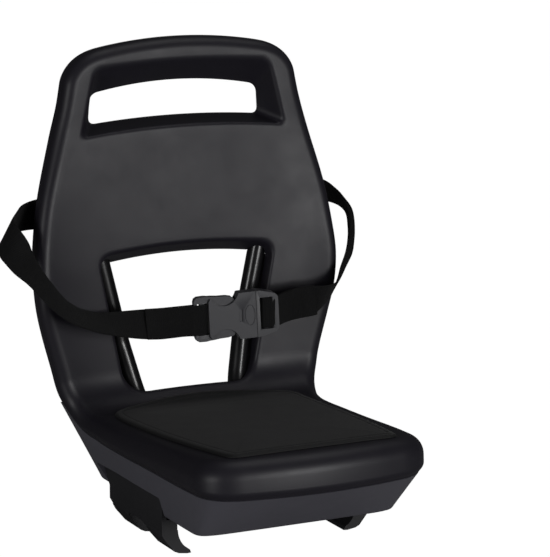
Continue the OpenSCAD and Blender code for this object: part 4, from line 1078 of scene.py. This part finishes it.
@dataclass
class BaseTray:
    """Lower moulding: an open tray whose upper edge follows the shell's rim and whose floor lies on the carrier."""

    shell: SeatShell
    wall: float = 3.0
    gap: float = 0.8
    foot: float = 3.0
    claw_front: float = -24.5

    def upper(self, d: float) -> Array:
        """Right half of the upper edge, from the front middle to the rear middle, inset by d.

        Along the shell: outline + (tuck + 0.6 + d) inward, at the rim's depth + gap; then round the rear corner.
        """
        ring, inward = self.shell.outline, self.shell.inward
        n = len(ring) // 2 + 1
        x, s = ring[:n, 0], ring[:n, 1]
        keep = s < 243
        x, s, inn = x[keep], s[keep], inward[:n][keep]
        q = np.stack([x, s], 1) + (self.shell.at(s, 5) + 0.6 + d)[:, None] * inn
        along = self.shell.point(q[:, 0], q[:, 1], self.shell.edge_depth(x, q[:, 1]) + self.gap)
        corner = bezier([107.5 - d, 126 - d * 0.6, 59], [107 - d, 132 - d, 57.4], [97 - d, 132 - d, 57], 10)
        rear = np.array([[60, 132 - d, 57], [0, 132 - d, 57]])
        return resample(np.concatenate([along, corner, rear]), 300)

    def lower(self, top: Array, d: float, z: float) -> Array:
        """Lower edge under the upper one at height z, drawn in by d, with x and y looked up from the upper edge."""
        y = np.interp(top[:, 1], [-130, -124, -113.5, -92, -60, 95, 132], [-86, -85.5, -82, -71, -45, 78, 97])
        x = np.interp(top[:, 0], [0, 60, 70, 85, 92, 96, 112], [0, 57, 67.5, 80, 83.5, 84.5, 85])
        x = x * (85 - d) / 85
        y = 5.5 + (y - 0.05 - 5.5) * (1 - 2 * d / 183)
        return np.stack([x, y, np.full_like(x, z)], 1)

    def wall_rings(self, d: float, floor: float, radius: float, lift: float) -> list[Array]:
        """Rings of one side of the wall: middle of the floor, rounded heel of the given radius, then straight up.

        Args:
            d: Inset of this side.
            floor: Height of its floor.
            radius: Radius of the heel.
            lift: Part of the wall's height at its upper edge, 1 for the parting line.

        Returns:
            Closed rings from the floor's middle upwards.
        """
        top_half = self.upper(d)
        low_half = self.lower(self.upper(0), d, floor)
        top, low = mirrored(top_half), soften(mirrored(low_half), 3.0)
        low[:, 2] = floor
        up = unit(top - low)
        flat_in = unit(low * [1, 1, 0] - np.array([0, 5.5, 0]))
        centre = np.array([0, 5.5, floor])
        rings = [centre + (low - centre) * k for k in (0.35, 0.7, 0.9)]
        a = low - flat_in * radius * 0.9
        b = low + up * radius
        rings += list(bezier(a, low, b, 7))
        rings += [b + (top - b) * k for k in np.linspace(0, lift, 12)[1:]]
        return rings

    def build(self) -> bpy.types.Object:
        """Makes the tray: outer rings, upper edge, inner rings, then cuts the side windows and the screw recesses."""
        outer = self.wall_rings(0.0, 0.0, self.foot, 1.0)
        inner = self.wall_rings(self.wall, self.wall, 2.0, 1.0)
        rim = [outer[-1] + (inner[-1] - outer[-1]) * k + np.array([0, 0, 0.35 * math.sin(math.pi * k)])
               for k in (0.15, 0.5, 0.85)]
        rings = np.array(outer + rim + inner[::-1])
        n = rings.shape[1]
        points = np.concatenate([rings.reshape(-1, 3), [[0, 5.5, 0], [0, 5.5, self.wall]]])
        count = len(rings) * n
        last = count - n
        ends = [[(i + 1) % n, i, count] for i in range(n)]
        ends += [[last + i, last + (i + 1) % n, count + 1] for i in range(n)]
        faces = [ring_quads(len(rings), n), ends]
        piece = make_piece("base_tray_moulding", points, faces, 35, weld=0.01, recalc=True)
        f = self.claw_front
        side = np.array([[f - 0.5, -3], [f - 0.5, 15.2], [f + 0.6, 16], [89.5, 16], [91, 15], [78.5, 0], [78.5, -3]])
        reach = [("cut_side_r", side, 0, 79, 119), ("cut_side_l", side, 0, -119, -79)]
        reach += [("cut_recess", circle(5.15, 28) + place, 2, -1, 3.2) for place in SHELL_SCREWS]
        cut(piece, [prism(name, np.insert(ring, axis, low, axis=1), np.insert(ring, axis, high, axis=1))
                    for name, ring, axis, low, high in reach], 35)
        return piece

    def fittings(self, node: bpy.types.Object) -> bpy.types.Object:
        """Inner bosses, cradles, nut housing and rear deck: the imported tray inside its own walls.

        Args:
            node: Packed tray.

        Returns:
            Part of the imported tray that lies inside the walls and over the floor.
        """
        piece = cad_copy(node, "tray_fittings", 0)
        low = mirrored(self.lower(self.upper(0), self.wall + 0.05, self.wall + 0.02))
        top = mirrored(self.upper(self.wall + 0.05))
        cut(piece, [prism("room", low, top + (top - low) * 0.03)], 35, "INTERSECT")
        return piece


# ---- Belt and buckle ----------------------------------------------------------------------------


@dataclass
class Strap:
    """Length of 25 mm webbing along a route, each point with the direction of its width."""

    name: str
    route: Array
    across: Array
    flap: Array
    flap_across: Array
    width: float = 25.0
    thick: float = 1.35

    def frames(self, route: Array, across: Array, count: int) -> tuple[Array, Array, Array]:
        """Smooth middle line of a route, width directions square to it, and the strap's outward direction."""
        line = spline(route, count)
        wide = spline(across, count)
        line = resample(line, count)
        along = unit(np.gradient(line, axis=0))
        u = unit(wide - along * np.sum(wide * along, axis=1, keepdims=True))
        return line, u, np.cross(along, u)

    def build(self) -> bpy.types.Object:
        """Makes the strap and the sewn flap at its buckle: flat sections with round selvedges along their lines.

        UV "strap" holds the run along the strap and the place across it, both in millimetres.
        """
        section = stadium(self.width, self.thick, 15)
        parts, flats = [], []
        for route, across, steps in ((self.route, self.across, 260), (self.flap, self.flap_across, 120)):
            line, u, v = self.frames(route, across, steps)
            grid = line[:, None] + section[None, :, :1] * u[:, None] + section[None, :, 1:] * v[:, None]
            parts.append(capped(grid, ring_quads(*grid.shape[:2])))
            across_mm = section[None, :, 0] + self.width / 2
            flats.append(np.stack(np.broadcast_arrays(runs(line)[:, None], across_mm), -1).reshape(-1, 2))
        piece = make_piece(self.name, *joined(parts), 50, recalc=True)
        store_uv(piece, np.concatenate(flats))
        return piece


def store_uv(piece: bpy.types.Object, flat: Array) -> None:
    """Writes a UV map named strap from one pair of values per vertex."""
    layer = piece.data.uv_layers.new(name="strap")
    corner = np.empty(len(piece.data.loops), np.int32)
    piece.data.loops.foreach_get("vertex_index", corner)
    layer.data.foreach_set("uv", flat[corner].astype(np.float32).ravel())


@dataclass
class TubeLoop:
    """Webbing sewn round a leg of the frame tube."""

    side: int
    height: float = 212.0

    def build(self) -> bpy.types.Object:
        """Makes the loop: a flat ring 25 mm high round the leg, 0.3 mm clear of it."""
        leg = unit(np.array([self.side * 0.227, 0.046, 1.0]))
        knee = np.array([self.side * 69, 131, 166])
        middle = knee + leg * (self.height - 166) / leg[2]
        x = unit(np.cross(leg, [0, 1.0, 0]))
        y = np.cross(leg, x)
        a = np.linspace(0, 2 * math.pi, 64, endpoint=False)[:, None]
        out = np.cos(a) * x + np.sin(a) * y
        section = stadium(25.0, 1.3, 13)
        grid = middle + out[:, None] * (8.5 + section[None, :, 1:]) + leg * section[None, :, :1]
        rows, cols = grid.shape[:2]
        quads = ring_quads(rows + 1, cols)
        quads = np.where(quads >= rows * cols, quads - rows * cols, quads)
        name = "loop_left" if self.side < 0 else "loop_right"
        piece = make_piece(name, grid.reshape(-1, 3), [quads], 50, recalc=True)
        run = np.broadcast_to(a * 8.5, (rows, cols))
        store_uv(piece, np.stack([run, np.broadcast_to(section[:, 0] + 12.5, (rows, cols))], -1).reshape(-1, 2))
        return piece


# Routes of the belt's halves from the tube's leg to the buckle, and the directions of their width
LEFT_ROUTE = np.array([[-79.8, 141.6, 212], [-100, 141.4, 211.5], [-127, 140, 210], [-141, 133, 207.5],
    [-154, 117, 203], [-154, 104, 193], [-149, 96, 181], [-142, 90, 171.5], [-134, 88, 161], [-125, 88, 150.5],
    [-115, 89, 141.5], [-102, 91, 134], [-84, 92, 128], [-56, 92, 124.5], [-32, 90, 123.5], [-8, 87, 124.5]])
LEFT_ACROSS = np.array([[0, 0.06, 1], [0.05, 0.03, 1], [0.08, -0.1, 1], [0.05, -0.35, 0.93], [0.24, -0.46, 0.85],
    [0.45, -0.06, 0.89], [0.6, 0.4, 0.65], [0.68, 0.65, 0.35], [0.7, 0.7, 0.15], [0.65, 0.74, 0.1],
    [0.6, 0.75, 0.2], [0.45, 0.7, 0.4], [0.3, 0.6, 0.65], [0.2, 0.4, 0.85], [0.1, 0.2, 0.95], [0, 0, 1]])
RIGHT_ROUTE = np.array([[79.8, 141.6, 212], [100, 141.3, 211.5], [114.5, 147, 212], [129, 148, 210.5],
    [141.5, 144.5, 207.5], [150, 137.5, 202], [153.5, 129.5, 194], [152.5, 122, 184], [148.5, 114.5, 172.5],
    [142.5, 107.5, 162], [135, 101, 152.5], [127, 95, 143.5], [118.5, 90, 136], [107.5, 87.5, 132],
    [94.5, 87.5, 130], [81, 86.5, 129], [70, 81, 128.5], [61, 75.2, 128.3]])
RIGHT_ACROSS = np.array([[0, 0.06, 1], [0.03, 0.02, 1], [0.12, -0.3, 0.95], [0.13, -0.33, 0.93], [0.05, -0.51, 0.86],
    [-0.23, -0.71, 0.66], [-0.38, -0.73, 0.57], [-0.23, -0.77, 0.59], [-0.17, -0.79, 0.59], [-0.1, -0.8, 0.59],
    [-0.02, -0.82, 0.57], [-0.08, -0.78, 0.63], [-0.09, -0.76, 0.64], [-0.13, -0.59, 0.79], [-0.1, -0.14, 0.98],
    [-0.08, 0.14, 0.99], [-0.05, 0.1, 0.99], [0, 0, 1]])

# Buckle: place, and the directions of its length, depth and height
BUCKLE_AT = np.array([2.0, 85.0, 125.0])
YAW, PITCH = math.radians(-10), math.radians(-3)
BUCKLE_AXES = np.array([
    [math.cos(YAW) * math.cos(PITCH), math.sin(YAW) * math.cos(PITCH), -math.sin(PITCH)],
    [-math.sin(YAW), math.cos(YAW), 0],
    [math.cos(YAW) * math.sin(PITCH), math.sin(YAW) * math.sin(PITCH), math.cos(PITCH)]])


def in_buckle(points: list) -> Array:
    """World points of points given along the buckle's own axes."""
    return BUCKLE_AT + np.array(points, float) @ BUCKLE_AXES


# Flaps: the webbing's end comes back over the last bar and is sewn down on the strap's front
LEFT_FLAP = in_buckle([[-50, -4.1, 1.9], [-44, -3.5, 1.3], [-34, -2.5, 0.4], [-24, -2.0, 0.2], [-16, -2.6, 0.1],
    [-11.5, -3.8, 0], [-7, -4.2, 0], [-3, -4.15, 0], [-0.6, -3.3, 0], [0.25, -1.6, 0], [0.2, 0.6, 0], [-0.3, 2.2, 0]])
LEFT_FLAP_ACROSS = np.array([[0.17, 0.34, 0.88], [0.15, 0.3, 0.9], [0.1, 0.2, 0.95], [0.05, 0.1, 0.97], [0, 0, 1],
    [0, 0, 1], [0, 0, 1], [0, 0, 1], [0, 0, 1], [0, 0, 1], [0, 0, 1], [0, 0, 1]])
RIGHT_FLAP = in_buckle([[98, 18.4, 0.5], [91, 16.9, 0.3], [84, 16.0, 0.1], [78, 13.6, 0], [72, 9.8, 0], [66, 4.4, 0],
    [61, -0.9, 0], [57.6, -4.1, 0], [54.8, -4.6, 0], [51.5, -4.0, 0], [48.6, -3.6, 0], [46.6, -2.9, 0],
    [45.4, -1.0, 0], [45.2, 1.2, 0]])
RIGHT_FLAP_ACROSS = np.array([[-0.08, 0.05, 0.99], [-0.08, 0.1, 0.99], [-0.08, 0.14, 0.99], [-0.05, 0.1, 0.99],
    [-0.02, 0.05, 1], *[[0, 0, 1]] * 9])


# ---- Studio -------------------------------------------------------------------------------------


@dataclass(frozen=True)
class Softbox:
    """Rectangular soft light that looks at the seat."""

    name: str
    place: tuple[float, float, float]
    size: tuple[float, float]
    watts: float
    aim: tuple[float, float, float] = (0.0, 0.03, 0.16)

    def build(self) -> None:
        """Makes the light: a rectangle turned so that it faces its aim."""
        data = bpy.data.lights.new(self.name, "AREA")
        data.shape = "RECTANGLE"
        data.size, data.size_y = self.size
        data.energy = self.watts
        lamp = linked(self.name, data)
        lamp.location = self.place
        lamp.rotation_euler = (Vector(self.aim) - Vector(self.place)).to_track_quat("-Z", "Y").to_euler()


@dataclass
class Studio:
    """White floor and surroundings, soft lights and the camera at the photograph's viewing angle."""

    eye: tuple[float, float, float] = (-0.901, -1.867, 0.603)
    azimuth: float = -26.3
    elevation: float = 11.7
    focal_px: float = 2749.0
    floor_z: float = -0.0313
    lights: tuple = (
        Softbox("key", (0.7, -2.1, 0.5), (0.6, 0.6), 9.0),
        Softbox("top", (0.5, -0.1, 1.9), (1.1, 1.1), 3.5),
        Softbox("low", (0.5, -2.4, 0.1), (0.9, 0.35), 9.0),
        Softbox("left", (-2.0, -1.0, 0.3), (0.6, 0.6), 9.0),
    )

    def camera(self) -> None:
        """Places the camera: it looks along (sin a cos e, cos a cos e, -sin e) with a 36 mm wide sensor."""
        data = bpy.data.cameras.new("camera")
        data.sensor_fit = "HORIZONTAL"
        data.sensor_width = 36.0
        data.lens = self.focal_px * 36.0 / 550.0
        cam = linked("camera", data)
        a, e = math.radians(-self.azimuth), math.radians(self.elevation)
        look = Vector((math.sin(a) * math.cos(e), math.cos(a) * math.cos(e), -math.sin(e)))
        cam.location = self.eye
        cam.rotation_euler = look.to_track_quat("-Z", "Y").to_euler()
        bpy.context.scene.camera = cam

    def world(self) -> None:
        """Surroundings: white to the camera and through clear things, a low grey for the light on the object."""
        world = bpy.data.worlds.new("studio")
        bpy.context.scene.world = world
        world.use_nodes = True
        tree = world.node_tree
        tree.nodes.clear()
        path = add(tree, "ShaderNodeLightPath")
        seen = add(tree, "ShaderNodeMath", {"operation": "MAXIMUM"},
                   links={0: path.outputs["Is Camera Ray"], 1: path.outputs["Is Transmission Ray"]})
        gloss = add(tree, "ShaderNodeMath", {"operation": "MULTIPLY"}, {1: 0.04},
                    {0: path.outputs["Is Glossy Ray"]})
        level = add(tree, "ShaderNodeMath", {"operation": "MAXIMUM"}, links={0: seen.outputs[0], 1: gloss.outputs[0]})
        strength = add(tree, "ShaderNodeMath", {"operation": "MAXIMUM"}, {1: 0.035}, {0: level.outputs[0]})
        back = add(tree, "ShaderNodeBackground", values={"Color": (1, 1, 1, 1)},
                   links={"Strength": strength.outputs[0]})
        add(tree, "ShaderNodeOutputWorld", links={"Surface": back.outputs[0]})

    def floor(self) -> bpy.types.Object:
        """Plain white floor: to the camera mostly an even white of strength 1, so that only a faint shadow stays."""
        piece = make_piece("floor", np.array([[-6000, -6000, 0], [6000, -6000, 0], [6000, 6000, 0], [-6000, 6000, 0]])
                           + [0, 0, self.floor_z / MM], [[[0, 1, 2, 3]]])
        mat = bpy.data.materials.new("white paper sweep")
        mat.use_nodes = True
        tree = mat.node_tree
        tree.nodes.clear()
        path = add(tree, "ShaderNodeLightPath")
        paper = add(tree, "ShaderNodeBsdfDiffuse", values={"Color": (0.45, 0.45, 0.45, 1)})
        white = add(tree, "ShaderNodeEmission", values={"Color": (1, 1, 1, 1), "Strength": 1.05})
        share = add(tree, "ShaderNodeMath", {"operation": "MULTIPLY"}, {1: 0.96}, {0: path.outputs["Is Camera Ray"]})
        mix = add(tree, "ShaderNodeMixShader", links={0: share.outputs[0], 1: paper.outputs[0], 2: white.outputs[0]})
        add(tree, "ShaderNodeOutputMaterial", links={"Surface": mix.outputs[0]})
        piece.data.materials.append(mat)
        return piece

    def build(self) -> None:
        """Makes the camera, surroundings, floor and lights."""
        self.camera()
        self.world()
        self.floor()
        for light in self.lights:
            light.build()
        bpy.context.scene.view_settings.view_transform = "Standard"


# ---- Whole seat ---------------------------------------------------------------------------------


@dataclass
class BikeSeat:
    """The dressed seat: new surfaces for the mouldings and soft parts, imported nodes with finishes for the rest."""

    nodes: dict
    materials: dict = field(default_factory=dict)

    def finish(self, spec: object) -> bpy.types.Material:
        """Material of a finish, made once."""
        if spec.name not in self.materials:
            self.materials[spec.name] = spec.build()
        return self.materials[spec.name]

    def place(self, piece: bpy.types.Object, spec: object, body: str, *replaced: str) -> None:
        """Dresses a piece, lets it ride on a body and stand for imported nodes.

        Args:
            piece: New piece.
            spec: Its finish.
            body: Body that carries it.
            replaced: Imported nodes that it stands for.
        """
        dress(piece, self.finish(spec))
        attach(piece, body)
        if replaced:
            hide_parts(*replaced)
        LOG.info("%s: %d faces on %s", piece.name, len(piece.data.polygons), body)

    def mouldings(self) -> None:
        """Shell with its ribs and bosses, pad, tray with its fittings, and tube."""
        shell = SeatShell()
        self.place(shell.build(), SHELL_PLASTIC, "seat", "seat_shell")
        self.place(shell.ribs(), SHELL_PLASTIC, "seat")
        self.place(shell.bosses(), SHELL_PLASTIC, "seat")
        pad = SeatPad(shell).build()
        self.place(pad, PAD_COVER, "seat", "seat_pad")
        tray = BaseTray(shell)
        self.place(tray.build(), TRAY_PLASTIC_AND_PAINTED_BOUNCE, "seat", "base_tray")
        self.place(tray.fittings(self.nodes["base_tray"]), TRAY_PLASTIC_AND_PAINTED_BOUNCE, "seat")
        self.place(FrameTube().build(), TUBE_COAT, "seat", "frame_tube")

    def belts(self) -> None:
        """Both halves of the lap belt with their sewn second layers and the loops round the tube's legs."""
        left = Strap("belt_left_web", LEFT_ROUTE, LEFT_ACROSS, LEFT_FLAP, LEFT_FLAP_ACROSS)
        right = Strap("belt_right_web", RIGHT_ROUTE, RIGHT_ACROSS, RIGHT_FLAP, RIGHT_FLAP_ACROSS)
        web = left.build()
        dress(web, self.finish(STRAP))
        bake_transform(web)
        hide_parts("belt_left")
        self.place(right.build(), STRAP, "seat", "belt_right")
        for side in (-1, 1):
            self.place(TubeLoop(side).build(), STRAP, "seat")

    def hardware(self) -> None:
        """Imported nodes: rounded copies of hooks, buckle and knob, and finishes for the rest."""
        rounded = {
            "fixed_hooks": (HOOK_PLASTIC, "seat", 0.9), "sliding_hooks": (HOOK_PLASTIC, "jaw", 0.9),
            "buckle_socket": (BUCKLE_PLASTIC, "seat", 0.9), "buckle_prongs": (BUCKLE_PLASTIC, "buckle", 0.8),
            "clamp_knob": (NYLON, "clamp", 1.2), "back_saddle_left": (NYLON, "seat", 0.4),
            "back_saddle_right": (NYLON, "seat", 0.4), "tube_plugs": (NYLON, "seat", 0.4),
        }
        for node, (spec, body, bevel) in rounded.items():
            self.place(cad_copy(self.nodes[node], node + "_rounded", bevel), spec, body, node)
        kept = {
            "base_saddle_front_left": NYLON, "base_saddle_front_right": NYLON, "base_saddle_rear_left": NYLON,
            "base_saddle_rear_right": NYLON, "saddle_screws": ZINC, "shell_screws": ZINC, "fixed_hook_screws": ZINC,
            "arm_keepers": ZINC, "keeper_screws": ZINC, "clamp_nut": ZINC, "clamp_washer": ZINC, "clamp_clip": ZINC,
            "clamp_screw": ZINC,
        }
        for node, spec in kept.items():
            dress(self.nodes[node], self.finish(spec))
            LOG.info("%s: finish %s", node, spec.name)


def main() -> None:
    logging.basicConfig(level=logging.INFO, format="%(message)s")
    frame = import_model()
    seat = BikeSeat(frame["nodes"])
    seat.mouldings()
    seat.belts()
    seat.hardware()
    Studio().build()


if __name__ == "__main__":
    main()
